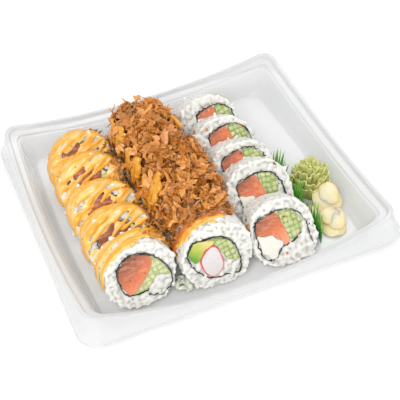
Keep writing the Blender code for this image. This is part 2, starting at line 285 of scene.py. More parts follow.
def spline(knots, count, closed=False):
    """Points evenly along a smooth curve through the knots."""
    knots = np.asarray(knots, float)
    total = len(knots)
    spans = total if closed else total - 1
    dense = []
    for span in range(spans):
        if closed:
            a, b, c, d = (knots[(span + k) % total] for k in (-1, 0, 1, 2))
        else:
            b, c = knots[span], knots[span + 1]
            a = knots[span - 1] if span else 2 * b - c
            d = knots[span + 2] if span + 2 < total else 2 * c - b
        t = np.linspace(0, 1, 12, endpoint=False)[:, None]
        dense.append(0.5 * (2 * b + (c - a) * t + (2 * a - 5 * b + 4 * c - d) * t ** 2
                            + (3 * b - a - 3 * c + d) * t ** 3))
    dense = np.concatenate(dense + [knots[:1] if closed else knots[-1:]])
    run = np.concatenate([[0], np.cumsum(np.linalg.norm(np.diff(dense, axis=0), axis=1))])
    at = np.linspace(0, run[-1], count, endpoint=not closed)
    return np.stack([np.interp(at, run, dense[:, k]) for k in range(dense.shape[1])], axis=-1)


RIPPLE_WAVES = 8


def ripple(points, size, seed):
    """A smooth uneven field, mostly within -1 to 1, of crossed waves of about one size."""
    rng = np.random.default_rng(seed)
    points = np.asarray(points, float)
    total = np.zeros(points.shape[:-1])
    for _ in range(RIPPLE_WAVES):
        direction = rng.normal(size=points.shape[-1])
        direction *= TURN / (size * rng.uniform(0.7, 1.5) * np.linalg.norm(direction))
        total += np.sin(points @ direction + rng.uniform(0, TURN))
    return total / math.sqrt(RIPPLE_WAVES)


def inside(points, polygon):
    """Which of the points lie inside a closed outline, both in two dimensions."""
    points = np.asarray(points, float)
    x, y = points[:, 0], points[:, 1]
    hit = np.zeros(len(points), bool)
    for (x0, y0), (x1, y1) in zip(polygon, np.roll(polygon, -1, axis=0)):
        crosses = (y0 > y) != (y1 > y)
        at = x0 + (y - y0) * (x1 - x0) / np.where(y1 == y0, 1e-12, y1 - y0)
        hit ^= crosses & (x < at)
    return hit


def nearest(points, line):
    """Distance from each point to the nearest point of a finely spaced line."""
    return np.linalg.norm(points[:, None, :] - line[None, :, :], axis=-1).min(axis=1)


def tube(path, radius, sides=8, flat=1.0, facing=(0.0, 0.0, 1.0)):
    """A closed tube along a path. Its section is flattened by flat in the facing direction."""
    path = np.asarray(path, float)
    radius = np.broadcast_to(np.asarray(radius, float), (len(path),))
    along = np.gradient(path, axis=0)
    along /= np.linalg.norm(along, axis=1, keepdims=True) + 1e-12
    side = np.cross(along, facing)
    side /= np.linalg.norm(side, axis=1, keepdims=True) + 1e-9
    up = np.cross(side, along)
    angle = np.arange(sides) * TURN / sides
    ring = (side[:, None] * np.cos(angle)[None, :, None]
            + up[:, None] * np.sin(angle)[None, :, None] * flat)
    points = (path[:, None] + ring * radius[:, None, None]).reshape(-1, 3)
    return np.concatenate([points, path[:1], path[-1:]]), capped_faces(len(path), sides)


FACES_KEPT = 0.34  # share of a fused skin's faces left once the flattest are merged


def fused(name, shape, voxel, rounds=2):
    """One smooth skin around all the bits of a shape."""
    rough = shape.mesh(name + "_rough")
    holder = bpy.data.objects.new(name + "_rough", rough)
    bpy.context.scene.collection.objects.link(holder)
    skin = holder.modifiers.new("skin", "REMESH")
    skin.mode = "VOXEL"
    skin.voxel_size = voxel
    soften = holder.modifiers.new("soften", "SMOOTH")
    soften.iterations = rounds
    soften.factor = 0.5
    holder.modifiers.new("merge", "DECIMATE").ratio = FACES_KEPT
    made = bpy.data.meshes.new_from_object(
        holder.evaluated_get(bpy.context.evaluated_depsgraph_get()))
    made.name = name
    bpy.data.objects.remove(holder)
    bpy.data.meshes.remove(rough)
    return made


def read_points(mesh):
    """A mesh's points as an array."""
    points = np.zeros(len(mesh.vertices) * 3)
    mesh.vertices.foreach_get("co", points)
    return points.reshape(-1, 3)


def read_normals(mesh):
    """A mesh's point normals as an array."""
    normals = np.zeros(len(mesh.vertices) * 3)
    mesh.vertex_normals.foreach_get("vector", normals)
    return normals.reshape(-1, 3)


def standing_out(mesh):
    """How far each point stands out from its neighbours, below zero in hollows."""
    points, normals = read_points(mesh), read_normals(mesh)
    edges = np.zeros(2 * len(mesh.edges), int)
    mesh.edges.foreach_get("vertices", edges)
    start, end = edges.reshape(-1, 2).T
    count = np.bincount(start, minlength=len(points)) + np.bincount(end, minlength=len(points))

    def near_mean(values):
        total = np.bincount(start, values[end], len(points)) + np.bincount(
            end, values[start], len(points))
        return total / np.maximum(count, 1)

    middle = np.stack([near_mean(points[:, k]) for k in range(3)], axis=-1)
    out = ((points - middle) * normals).sum(axis=1)
    for _ in range(2):
        out = 0.5 * out + 0.5 * near_mean(out)
    return out


def write_points(mesh, points):
    """Move a mesh's points."""
    mesh.vertices.foreach_set("co", np.asarray(points, float).reshape(-1))
    mesh.update()


def write_tint(mesh, tint):
    """Set a mesh's tint at each point."""
    held = mesh.attributes.get("tint") or mesh.attributes.new("tint", "FLOAT", "POINT")
    held.data.foreach_set("value", np.asarray(tint, np.float32))


def surface_of(nodes):
    """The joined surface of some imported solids, to be probed with rays."""
    points = []
    faces = []
    for node in nodes:
        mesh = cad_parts[node].data
        start = len(points)
        placed = read_points(mesh)
        points.extend(Roll(node).reshaped(placed) if node in BULGES else placed)
        faces.extend([start + corner for corner in face.vertices] for face in mesh.polygons)
    return BVHTree.FromPolygons([Vector(point) for point in points], faces)


def laid_at(surface, x, y, base):
    """Height and outward direction of a surface seen from above, or base where it ends."""
    hit, normal = surface.ray_cast(Vector((x, y, 0.2)), Vector((0, 0, -1)))[:2]
    return (hit.z, *(normal if normal.z > 0 else -normal)) if hit else (base, 0.0, 0.0, 1.0)


def smoothed(values, rounds):
    """Rows of values, each drawn towards its neighbours a few times."""
    values = np.array(values, float)
    for _ in range(rounds):
        values[1:-1] = 0.25 * values[:-2] + 0.5 * values[1:-1] + 0.25 * values[2:]
    return values


# ---------------------------------------------------------------- materials


def new_look(name, **sockets):
    """A Principled material with some of its sockets set."""
    look = bpy.data.materials.new(name)
    look.use_nodes = True
    shader = look.node_tree.nodes["Principled BSDF"]
    for socket, value in sockets.items():
        shader.inputs[socket.replace("_", " ")].default_value = value
    return look


def node(look, kind, **values):
    """Add a node and set its properties or sockets by name."""
    made = look.node_tree.nodes.new(kind)
    for name, value in values.items():
        if hasattr(made, name):
            setattr(made, name, value)
        else:
            made.inputs[name.replace("_", " ")].default_value = value
    return made


def wire(look, source, target):
    """Join an output to an input."""
    look.node_tree.links.new(source, target)


def shader_of(look):
    """The material's Principled node."""
    return look.node_tree.nodes["Principled BSDF"]


def ramp(look, source, stops):
    """Colours along a value. Each stop is a place from 0 to 1 and a colour."""
    made = node(look, "ShaderNodeValToRGB")
    elements = made.color_ramp.elements
    while len(elements) < len(stops):
        elements.new(0.5)
    for element, (place, colour) in zip(elements, stops):
        element.position = place
        element.color = (*colour, 1.0)
    wire(look, source, made.inputs["Fac"])
    return made.outputs["Color"]


def paint(look, value, stops):
    """Colour the look along a value."""
    wire(look, ramp(look, value, stops), shader_of(look).inputs["Base Color"])


def paint_tinted(look, size, detail, share, stops):
    """Colour the look by even noise and, for a share of it, by the tint of the piece."""
    paint(look, blend_values(look, noise_of(look, size, detail), tint_of(look), share), stops)


def noise_of(look, size, detail=3.0, stretch=(1.0, 1.0, 1.0), distortion=0.0):
    """Even noise with features of about one size, which may be stretched along axes."""
    place = node(look, "ShaderNodeTexCoord")
    mapping = node(look, "ShaderNodeMapping")
    mapping.inputs["Scale"].default_value = [1 / (size * share) for share in stretch]
    wire(look, place.outputs["Object"], mapping.inputs["Vector"])
    made = node(look, "ShaderNodeTexNoise", Scale=1.0, Detail=detail, Distortion=distortion)
    wire(look, mapping.outputs["Vector"], made.inputs["Vector"])
    return made.outputs["Fac"]


def blend_values(look, first, second, share):
    """A mix of two values, of which share comes from the second."""
    made = node(look, "ShaderNodeMix")
    made.inputs["Factor"].default_value = share
    wire(look, first, made.inputs["A"])
    wire(look, second, made.inputs["B"])
    return made.outputs["Result"]


def tint_of(look):
    """The tint stored at each point of the piece."""
    return node(look, "ShaderNodeAttribute", attribute_name="tint").outputs["Fac"]


def bump(look, height, depth, strength=1.0):
    """Low relief of a depth in metres."""
    made = node(look, "ShaderNodeBump", Strength=strength, Distance=depth)
    wire(look, height, made.inputs["Height"])
    wire(look, made.outputs["Normal"], shader_of(look).inputs["Normal"])


def soft(look, weight, radius, scale):
    """Let light into the surface, as into food."""
    shader = shader_of(look)
    shader.inputs["Subsurface Weight"].default_value = weight
    shader.inputs["Subsurface Radius"].default_value = radius
    shader.inputs["Subsurface Scale"].default_value = scale


def darker(colour, share):
    """A colour with its light cut to a share."""
    return tuple(channel * share for channel in colour)


def between(first, second, share):
    """A colour part of the way from one to another."""
    return tuple(a + (b - a) * share for a, b in zip(first, second))


def sheet_look(settings):
    """Clear, slightly milky plastic, hazier where it is seen along its surface."""
    look = new_look("clear_sheet", Roughness=0.16, IOR=1.45, Coat_Weight=0.6,
                    Coat_Roughness=0.06, Base_Color=(*settings.tone, 1.0))
    facing = node(look, "ShaderNodeLayerWeight", Blend=0.35)
    spread = node(look, "ShaderNodeMapRange", To_Min=settings.haze, To_Max=settings.edge_haze)
    wire(look, facing.outputs["Facing"], spread.inputs["Value"])
    wire(look, spread.outputs["Result"], shader_of(look).inputs["Alpha"])
    bump(look, noise_of(look, 9 * MM, 1.0), 0.05 * MM, 0.5)
    return look


def rice_look(name, colour, size):
    """Moist white rice, a little uneven in tone, and darker where its tint is low, which on the
    pressed rice is painted shade in the hollows between grains.
    """
    look = new_look(name, Roughness=0.42, Specular_IOR_Level=0.45)
    paint_tinted(look, size, 3.0, 0.75, (
        (0.12, darker(colour, 0.66)), (0.36, darker(colour, 0.90)), (0.6, colour),
        (0.9, between(colour, (1, 1, 1), 0.25))))
    soft(look, 0.4, (1.0, 0.95, 0.85), 1.3 * MM)
    bump(look, noise_of(look, 0.9 * MM, 2.0), 0.10 * MM, 0.4)
    return look


def nori_look(colour):
    """Dark seaweed with a faint olive grain."""
    look = new_look("nori", Roughness=0.38)
    paint(look, noise_of(look, 1.3 * MM, 4.0), (
        (0.3, darker(colour, 0.5)), (0.6, colour), (0.85, (0.05, 0.055, 0.028))))
    bump(look, noise_of(look, 0.8 * MM, 4.0), 0.2 * MM)
    return look


# Sockets of a Mix node that mixes colours.
MIX_FIRST, MIX_SECOND, MIX_RESULT = 6, 7, 2


def salmon_look(colour):
    """Moist salmon with pale marbling and browner margins."""
    look = new_look("salmon", Roughness=0.27)
    veins = noise_of(look, 2.2 * MM, 2.0, (2.6, 2.6, 0.75), 0.6)
    value = blend_values(look, noise_of(look, 9 * MM, 1.0), tint_of(look), 0.72)
    flesh = ramp(look, value, (
        (0.15, (0.26, 0.085, 0.045)), (0.34, (0.50, 0.165, 0.085)), (0.54, colour),
        (0.85, (0.88, 0.36, 0.20))))
    fat = ramp(look, veins, ((0.50, (0, 0, 0)), (0.64, (0.42, 0.42, 0.42))))
    made = node(look, "ShaderNodeMix", data_type="RGBA")
    wire(look, fat, made.inputs["Factor"])
    wire(look, flesh, made.inputs[MIX_FIRST])
    made.inputs[MIX_SECOND].default_value = (0.84, 0.36, 0.22, 1.0)
    wire(look, made.outputs[MIX_RESULT], shader_of(look).inputs["Base Color"])
    soft(look, 0.25, (1.0, 0.35, 0.2), 1.5 * MM)
    bump(look, veins, 0.08 * MM, 0.5)
    return look


def cucumber_look(colour):
    """Wet cucumber flesh, greener towards its skin side."""
    look = new_look("cucumber", Roughness=0.22)
    paint_tinted(look, 2.0 * MM, 3.0, 0.7, (
        (0.15, (0.26, 0.36, 0.09)), (0.34, (0.44, 0.52, 0.20)), (0.6, colour),
        (0.9, (0.74, 0.75, 0.46))))
    soft(look, 0.25, (0.8, 1.0, 0.4), 1.2 * MM)
    bump(look, noise_of(look, 0.8 * MM, 2.0), 0.1 * MM, 0.6)
    return look


def avocado_look(edge):
    """Ripe avocado, green at its skin side and yellow inside."""
    look = new_look("avocado", Roughness=0.34, Specular_IOR_Level=0.45)
    paint_tinted(look, 3 * MM, 2.0, 0.85, (
        (0.12, darker(edge, 0.55)), (0.32, edge), (0.55, (0.46, 0.52, 0.08)),
        (0.78, (0.74, 0.63, 0.22))))
    soft(look, 0.2, (0.9, 1.0, 0.3), 1.2 * MM)
    return look


def crab_look():
    """A white crab stick with a red skin that tints its edge."""
    look = new_look("crab_stick", Roughness=0.36, Specular_IOR_Level=0.45)
    paint_tinted(look, 2.5 * MM, 2.0, 0.9, (
        (0.55, (0.74, 0.69, 0.68)), (0.74, (0.76, 0.56, 0.55)), (0.86, (0.78, 0.10, 0.10))))
    soft(look, 0.25, (1.0, 0.7, 0.6), 1.2 * MM)
    return look


def cheese_look(colour):
    """Smooth soft cheese."""
    look = new_look("cream_cheese", Roughness=0.45, Base_Color=(*colour, 1.0))
    paint(look, noise_of(look, 4 * MM, 2.0), ((0.3, darker(colour, 0.93)), (0.7, colour)))
    soft(look, 0.3, (1.0, 0.9, 0.75), 1.5 * MM)
    bump(look, noise_of(look, 1.6 * MM, 3.0), 0.15 * MM, 0.5)
    return look


def sauce_look(name, colour, film, rough):
    """Glossy sauce, paler where it lies thin."""
    look = new_look(name, Roughness=rough, Coat_Weight=0.2, Coat_Roughness=0.15)
    paint_tinted(look, 4.5 * MM, 3.0, 0.7, (
        (0.16, film), (0.44, between(film, colour, 0.55)), (0.64, colour),
        (0.88, darker(colour, 0.88))))
    soft(look, 0.2, (1.0, 0.5, 0.15), 1.2 * MM)
    bump(look, noise_of(look, 1.6 * MM, 2.0), 0.12 * MM, 0.5)
    return look


def onion_look(name, dark, light):
    """Fried onion, each strip its own brown, with darker spots."""
    look = new_look(name, Roughness=0.30, Specular_IOR_Level=0.6)
    paint_tinted(look, 2.2 * MM, 4.0, 0.62, (
        (0.16, dark), (0.36, between(dark, light, 0.40)), (0.54, between(dark, light, 0.78)),
        (0.70, light), (0.88, between(light, (0.95, 0.70, 0.38), 0.4))))
    soft(look, 0.15, (1.0, 0.5, 0.2), 0.8 * MM)
    bump(look, noise_of(look, 0.7 * MM, 3.0), 0.15 * MM, 0.7)
    return look


def wasabi_look(colour):
    """Stiff green paste, darker where its tint is low: painted shade at the feet of the folds and
    on the mound inside them, painted light on the lips of the ruffle.
    """
    look = new_look("wasabi", Roughness=0.48, Specular_IOR_Level=0.4)
    paint_tinted(look, 2.5 * MM, 3.0, 0.6, (
        (0.2, darker(colour, 0.42)), (0.5, colour), (0.8, (0.66, 0.66, 0.26))))
    soft(look, 0.2, (0.9, 1.0, 0.4), 1.0 * MM)
    bump(look, noise_of(look, 0.6 * MM, 3.0), 0.12 * MM, 0.6)
    return look


def ginger_look(colour):
    """Wet, half clear slices of ginger with faint fibres, paler where the tint is high, as painted
    light over the middle of each slice.
    """
    look = new_look("ginger", Roughness=0.22)
    fibres = noise_of(look, 1.5 * MM, 3.0, (0.7, 4.0, 4.0))
    value = blend_values(look, blend_values(look, noise_of(look, 7 * MM, 2.0), fibres, 0.3),
                         tint_of(look), 0.4)
    paint(look, value, ((0.3, darker(colour, 0.92)), (0.5, colour),
                        (0.75, between(colour, (1, 0.96, 0.84), 0.5))))
    soft(look, 0.55, (1.0, 0.75, 0.35), 2.5 * MM)
    bump(look, fibres, 0.15 * MM, 0.5)
    return look


def leaf_look(colour):
    """Thin green film, brighter towards the tips and edges of its blades as painted light, and
    darkest at their feet as painted shade.
    """
    look = new_look("leaf_sheet", Roughness=0.25)
    paint_tinted(look, 3 * MM, 2.0, 0.75, (
        (0.2, colour), (0.5, (0.06, 0.42, 0.025)), (0.8, (0.36, 0.64, 0.12))))
    return look


def floor_look(colour):
    """A plain pale floor."""
    look = new_look("floor", Roughness=0.8, Base_Color=(*colour, 1.0))
    paint(look, noise_of(look, 0.4, 1.0), ((0.0, darker(colour, 0.99)), (1.0, colour)))
    return look


# ---------------------------------------------------------------- the tray's sheet


LIP_WIDTH = 1.3 * MM
LIP_RADIUS = 12.6 * MM
SKIRT_FOOT = 9.5 * MM
SKIRT_DRAFT = 0.31  # inward lean of the skirt for each unit of height
RIM_INSET = SKIRT_DRAFT * 18 * MM  # how far the rim stands inside the lip, for its rise
RIM_RADIUS = 9 * MM
RIM_CENTRE = 3.4 * MM  # the rim lies in a shallow dish: its height at the middle
RIM_RISE = (13.4 * MM, 10.8 * MM)  # and its rise towards the ends of X and of Y
FLOOR_RADIUS = 8.0 * MM
FLOOR_BOW = 1.5 * MM
FLOOR_INSET = (20.0 * MM, 16.5 * MM)
SIDE_STEPS = 40
CORNER_STEPS = 12
SECTION_FINE = 4  # steps in each span of the sheet's section
BEND = 0.35  # how widely the section's bends are rounded

# Rim section: step inwards from its outer edge, drop below its crest, corner radius.
RIM_SECTION = (
    (0.0, 1.2, 9.0), (0.4, 0.3, 8.8), (1.3, 0.0, 8.4), (2.2, 0.4, 7.9), (3.0, 2.4, 7.4),
    (3.6, 2.9, 7.0), (6.4, 3.9, 6.0), (6.9, 5.4, 5.7), (7.7, 5.9, 5.3), (8.5, 7.6, 5.0),
)
# Wall section: share of the way to the floor's edge, share of the wall's height left.
WALL_SECTION = ((0.12, 0.80), (0.30, 0.55), (0.55, 0.22), (0.78, 0.06), (0.92, 0.01), (1.0, 0.0))


def tray_stations():
    """Places around the tray as rows of quarter, straight share, arc share and direction."""
    rows = []
    for quarter in range(4):
        turn = quarter * TURN / 4
        for step in range(SIDE_STEPS):
            rows.append((quarter, 2 * step / SIDE_STEPS - 1, -1.0, turn))
        for step in range(CORNER_STEPS):
            share = step / CORNER_STEPS
            rows.append((quarter, 1.0, share, turn + share * TURN / 4))
    return rows


def around(stations, half_x, half_y, radius, bow=0.0):
    """Plan positions of the stations on a rounded rectangle whose sides may bow outwards."""
    spots = []
    for number, (quarter, share, arc, turn) in enumerate(stations):
        x = half_x[number] - radius
        y = half_y[number] - radius
        corner = ((x, -y), (x, y), (-x, y), (-x, -y))[quarter]
        if arc < 0:
            swell = bow * (1 - share * share)
            spots.append((
                (share * x, -half_y[number] - swell), (half_x[number] + swell, share * y),
                (-share * x, half_y[number] + swell), (-half_x[number] - swell, -share * y),
            )[quarter])
        else:
            spots.append((corner[0] + radius * math.sin(turn),
                          corner[1] - radius * math.cos(turn)))
    return np.array(spots)


def sheet_rings(sheet):
    """Rings of the sheet's upper side, from the lip to the edge of the floor."""
    low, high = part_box("tray")
    half = (np.array(high) - np.array(low)) / 2
    foot = float(low[2])
    stations = tray_stations()
    many = np.ones(len(stations))
    rings = []
    for inset in (0.0, LIP_WIDTH):
        spots = around(stations, many * (half[0] - inset), many * (half[1] - inset),
                       LIP_RADIUS - inset)
        rings.append(np.column_stack([spots, many * (SKIRT_FOOT + sheet)]))
    rim = half - RIM_INSET
    spots = around(stations, many * rim[0], many * rim[1], RIM_RADIUS)
    crest = (RIM_CENTRE + RIM_RISE[0] * (spots[:, 0] / rim[0]) ** 2
             + RIM_RISE[1] * (spots[:, 1] / rim[1]) ** 2)
    for inward, drop, radius in RIM_SECTION:
        inset = SKIRT_DRAFT * (crest - SKIRT_FOOT) + inward * MM
        spots = around(stations, half[0] - inset, half[1] - inset, radius * MM)
        rings.append(np.column_stack([spots, crest - drop * MM]))
    start = rings[-1]
    edge = around(stations, many * (half[0] - FLOOR_INSET[0]), many * (half[1] - FLOOR_INSET[1]),
                  FLOOR_RADIUS, FLOOR_BOW)
    for across, left in WALL_SECTION:
        spots = start[:, :2] + (edge - start[:, :2]) * across
        rings.append(np.column_stack([spots, sheet + (start[:, 2] - sheet) * left]))
    return np.array(rings) + (0, 0, foot)


def build_sheet(settings):
    """The formed sheet, with its bends rounded, thickened downwards and inwards."""
    rings = sheet_rings(settings.sheet)
    count = rings.shape[1]
    fine = []
    for span in range(len(rings) - 1):
        before = rings[max(span - 1, 0)]
        start, end = rings[span], rings[span + 1]
        after = rings[min(span + 2, len(rings) - 1)]
        lean_in = BEND * (end - before)
        lean_out = BEND * (after - start)
        for step in range(SECTION_FINE):
            t = step / SECTION_FINE
            fine.append((2 * t ** 3 - 3 * t ** 2 + 1) * start + (t ** 3 - 2 * t ** 2 + t) * lean_in
                        + (3 * t ** 2 - 2 * t ** 3) * end + (t ** 3 - t ** 2) * lean_out)
    fine.append(rings[-1])
    lowest = rings[-1][:, 2].min()
    for ring in fine:
        ring[:, 2] = np.maximum(ring[:, 2], lowest)
    floor_edge = fine[-1]
    middle = floor_edge.mean(axis=0)
    for share in (0.9, 0.6, 0.3):
        fine.append(middle + (floor_edge - middle) * share)
    grid = np.array(fine)
    end = len(grid) * count
    faces = grid_faces(len(grid), count).tolist() + fan(end, np.arange(end - count, end)).tolist()
    shape = Shape()
    shape.add(np.concatenate([grid.reshape(-1, 3), middle[None]]), faces)
    flat = bpy.data.objects.new("sheet_flat", shape.mesh("sheet_flat"))
    bpy.context.scene.collection.objects.link(flat)
    if flat.data.polygons[len(flat.data.polygons) - 1].normal.z < 0:
        flat.data.flip_normals()
    thicken = flat.modifiers.new("sheet", "SOLIDIFY")
    thicken.thickness = settings.sheet
    thicken.offset = -1.0
    made = bpy.data.meshes.new_from_object(
        flat.evaluated_get(bpy.context.evaluated_depsgraph_get()))
    bpy.data.objects.remove(flat)
    add_piece("tray_sheet", made, sheet_look(settings), "clear_sheet", ("tray",), sharp=50)


# ---------------------------------------------------------------- rolls


RECESS = 0.9 * MM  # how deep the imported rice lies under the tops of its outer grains
EDGE = 1.3 * MM  # how far the cut edge is rounded
FLAT_SPACING = 3.1 * MM  # from one grain to the next
SAUCED_SINK = 0.45 * MM  # how much deeper grains lie under the sauce
LOOSE_GRAINS = 45
GRAIN_BEND = 0.1
GOLDEN = 2.399963  # the golden angle, which spreads spots evenly over a disc

# Where rice bulges out of a roll, or is pressed in: direction and spread in degrees, and
# how far in millimetres.
BULGES = {
    "roll_left_5": ((140, 38, -3.4),),
    "roll_left_4": ((150, 30, -1.0),),
    "roll_right_1": ((-54, 14, 3.8), (-26, 14, 1.8)),
    "roll_middle_1": ((-52, 14, 1.0),),
}


class Roll:
    """One packed roll in its own frame: x across the cut face, y into it, z up the face."""

    def __init__(self, name):
        self.name = name
        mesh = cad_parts[name].data
        groups = {}
        for face in mesh.polygons:
            if face.normal.y < -0.3:
                key = tuple(round(value, 2) for value in face.normal)
                total = groups.setdefault(key, [0.0, face])
                total[0] += face.area
        face = max(groups.values(), key=lambda group: group[0])[1]
        self.inward = -np.array(face.normal)
        self.across = np.cross(self.inward, (0, 0, 1))
        self.across /= np.linalg.norm(self.across)
        self.up = np.cross(self.across, self.inward)
        points = read_points(mesh)
        start = np.array(face.center)
        local = (points - start) @ np.array([self.across, self.inward, self.up]).T
        self.thickness = local[:, 1].max()
        ring = local[np.abs(local[:, 1] - EDGE) < 0.2 * MM][:, [0, 2]]
        middle = (ring.min(axis=0) + ring.max(axis=0)) / 2
        self.centre = start + self.across * middle[0] + self.up * middle[1]
        ring = ring - middle
        angle = np.arctan2(ring[:, 1], ring[:, 0]) % TURN
        order = np.unique(np.round(angle, 3), return_index=True)[1]
        knots = spline(ring[order], 144, closed=True)
        self.angles = np.arctan2(knots[:, 1], knots[:, 0]) % TURN
        self.reaches = np.linalg.norm(knots, axis=1)
        order = np.argsort(self.angles)
        self.angles, self.reaches = self.angles[order], self.reaches[order]
        self.packed_reaches = self.reaches
        for angle, spread, far in BULGES.get(name, ()):
            off = (self.angles - math.radians(angle) + TURN / 2) % TURN - TURN / 2
            self.reaches = self.reaches + far * MM * np.exp(-(off / math.radians(spread)) ** 2)
        self.floor = points[:, 2].min()

    def reach(self, angle):
        """Distance from the middle of the face to its outline."""
        return np.interp(angle, self.angles, self.reaches, period=TURN)

    def reshaped(self, points):
        """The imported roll's points, moved in or out as its rice is."""
        x, y, z = ((points - self.centre) @ np.array([self.across, self.inward, self.up]).T).T
        angle = np.arctan2(z, x) % TURN
        grown = self.reach(angle) / np.interp(angle, self.angles, self.packed_reaches, period=TURN)
        return self.at(x * grown, y, z * grown)

    def at(self, x, y, z):
        """Points of the tray's frame from coordinates in the roll's frame."""
        x, y, z = np.broadcast_arrays(x, y, z)
        return (self.centre + x[..., None] * self.across + y[..., None] * self.inward
                + z[..., None] * self.up)

    def swell(self, depth):
        """How far the side bulges at a depth."""
        share = np.clip(depth / self.thickness, 0, 1)
        return 0.5 * MM * np.sin(share * TURN / 2)

    def on_side(self, angle, depth, lift):
        """Points at some height over the roll's side."""
        far = self.reach(angle) + self.swell(depth) + lift
        return self.at(far * np.cos(angle), depth, far * np.sin(angle))

    def outward(self, angle):
        """Directions straight out of the roll's side."""
        return np.outer(np.cos(angle), self.across) + np.outer(np.sin(angle), self.up)

    def keep_in(self, points, margin):
        """Draw points of the face in so that they clear its outline by a margin."""
        points = np.asarray(points, float)
        far = np.linalg.norm(points, axis=1)
        most = self.reach(np.arctan2(points[:, 1], points[:, 0]) % TURN) - margin
        return points * np.minimum(1, most / np.maximum(far, 1e-9))[:, None]


# Layouts of the cut faces, in millimetres from the middle: x to the right, z up. The
# seaweed is a line, and each filling is a closed outline.
CHEESE_LAYOUT = {
    "nori": ((10.5, -3.2), (6.0, -6.4), (1.2, -7.8), (-2.8, -8.6), (-5.6, -12.2), (-9.0, -14.0),
             (-12.6, -13.9), (-15.2, -10.5), (-16.5, -4.0), (-16.7, 2.0), (-17.0, 7.4),
             (-15.6, 10.8), (-9.3, 13.0), (-0.2, 13.9), (6.0, 12.9), (10.2, 10.4), (13.2, 6.2),
             (15.6, 0.5), (15.6, -5.0), (17.0, -10.8)),
    "closed": False,
    "salmon": ((-16.0, 9.4), (-9.0, 12.2), (-2.8, 13.1), (-0.4, 8.3), (1.9, -0.4), (2.6, -6.2),
               (-0.9, -7.9), (-1.2, -5.0), (-4.9, -2.2), (-7.1, 0.5), (-12.1, 0.9), (-16.2, 3.0)),
    "cucumber": ((-0.2, 13.1), (5.8, 12.2), (9.8, 9.6), (12.3, 4.1), (10.6, -2.4), (6.0, -5.6),
                 (2.8, -4.6), (1.9, -0.4), (-0.1, 6.4)),
    "cream_cheese": ((-16.3, 2.3), (-12.0, 0.8), (-7.4, 0.4), (-5.2, -2.6), (-1.6, -5.0),
                     (-2.2, -8.0), (-5.2, -9.4), (-7.0, -13.4), (-10.6, -13.8), (-12.6, -10.6),
                     (-15.4, -8.4), (-15.6, -3.5)),
}
SALMON_LAYOUT = {
    "nori": ((2.7, -9.6), (-2.9, -10.4), (-9.5, -9.4), (-12.9, -3.0), (-14.1, 5.6),
             (-11.6, 10.8), (-6.5, 15.0), (-0.5, 15.2), (5.1, 13.2), (12.4, 6.6), (15.9, 0.6),
             (17.2, -6.8), (16.6, -12.8), (11.2, -15.4), (5.2, -14.8), (2.4, -12.4)),
    "closed": False,
    "salmon": ((-13.3, 5.0), (-11.0, 10.1), (-6.4, 14.2), (-0.4, 14.5), (6.2, 11.6),
               (7.6, 8.5), (5.1, 2.7), (1.5, -1.9), (-3.7, -7.3), (-6.5, -9.3), (-9.3, -8.5),
               (-12.2, -2.6)),
    "cucumber": ((7.0, 11.4), (11.8, 6.3), (15.1, 0.6), (16.2, -4.8), (11.0, -2.4),
                 (7.0, -3.9), (2.8, -8.6), (-3.0, -9.7), (-5.8, -9.2), (-3.4, -7.0),
                 (1.8, -1.7), (5.4, 2.9), (7.9, 8.7)),
}
CRAB_LAYOUT = {
    "nori": ((-19.3, 11.2), (-14.3, 13.8), (-7.5, 13.9), (0.5, 13.2), (8.8, 7.9),
             (12.5, -2.0), (13.3, -9.7), (11.8, -15.8), (7.0, -15.0), (1.5, -14.4),
             (-4.1, -14.2), (-9.7, -10.6), (-15.4, -3.2), (-18.2, 5.7)),
    "closed": True,
    "crab_stick": ((-11.0, -0.1), (-7.3, 5.9), (-2.7, 8.3), (0.8, 4.8), (3.0, -5.8),
                   (0.4, -11.2), (-4.1, -13.4), (-9.0, -8.9)),
    "avocado": ((-18.3, 10.5), (-14.0, 13.1), (-7.5, 13.2), (-1.6, 11.2), (-2.9, 9.0),
                (-7.6, 6.6), (-11.5, 0.9), (-14.7, 0.4), (-17.2, 6.0)),
    "cucumber": ((-1.0, 12.3), (3.4, 11.0), (8.4, 7.3), (12.0, -2.3), (12.3, -6.3), (6.1, -4.6),
                 (3.0, 0.9), (0.9, 5.4), (-1.9, 9.2)),
}
LAYOUTS = {"left": SALMON_LAYOUT, "middle": CRAB_LAYOUT, "right": CHEESE_LAYOUT}

# How the layout of each roll differs from its row's: stretch and shift in x and in z.
FITS = {
    "left": ((1, 1, 0, 0), (0.98, 0.95, -0.5, 0.5), (0.95, 1.0, 0.5, -0.3),
             (1.0, 0.96, -0.3, 0.2), (0.93, 0.95, 0.5, 0.5)),
    "middle": ((1, 1, 0, 0), (0.94, 0.95, 1.0, 0.4), (0.95, 0.93, 1.0, -0.5),
               (0.93, 0.95, 1.3, 0.3), (0.94, 0.92, 0.8, 0.2)),
    "right": ((1, 1, 0, 0), (0.90, 0.92, 1.4, 0.2), (0.93, 1.0, 3.0, 1.0),
              (0.86, 0.98, 5.4, 0.4), (0.80, 0.90, 6.6, 0.2)),
}
FACE_MARGIN = 2.2 * MM


def layout_of(roll, row, number):
    """The lines of one roll's face, in metres, drawn in where they would reach its edge."""
    stretch_x, stretch_z, shift_x, shift_z = FITS[row][number]
    made = {}
    for kind, knots in LAYOUTS[row].items():
        if kind == "closed":
            continue
        points = np.array(knots) * (stretch_x, stretch_z) + (shift_x, shift_z)
        closed = kind != "nori" or LAYOUTS[row]["closed"]
        fine = spline(points * MM, 260 if kind == "nori" else 72, closed)
        made[kind] = roll.keep_in(fine, FACE_MARGIN if kind == "nori" else FACE_MARGIN + 0.6 * MM)
    return made


def row_names(row):
    """The names of a row's packed rolls, front to back."""
    return [f"roll_{row}_{number + 1}" for number in range(ROLLS_IN_ROW)]


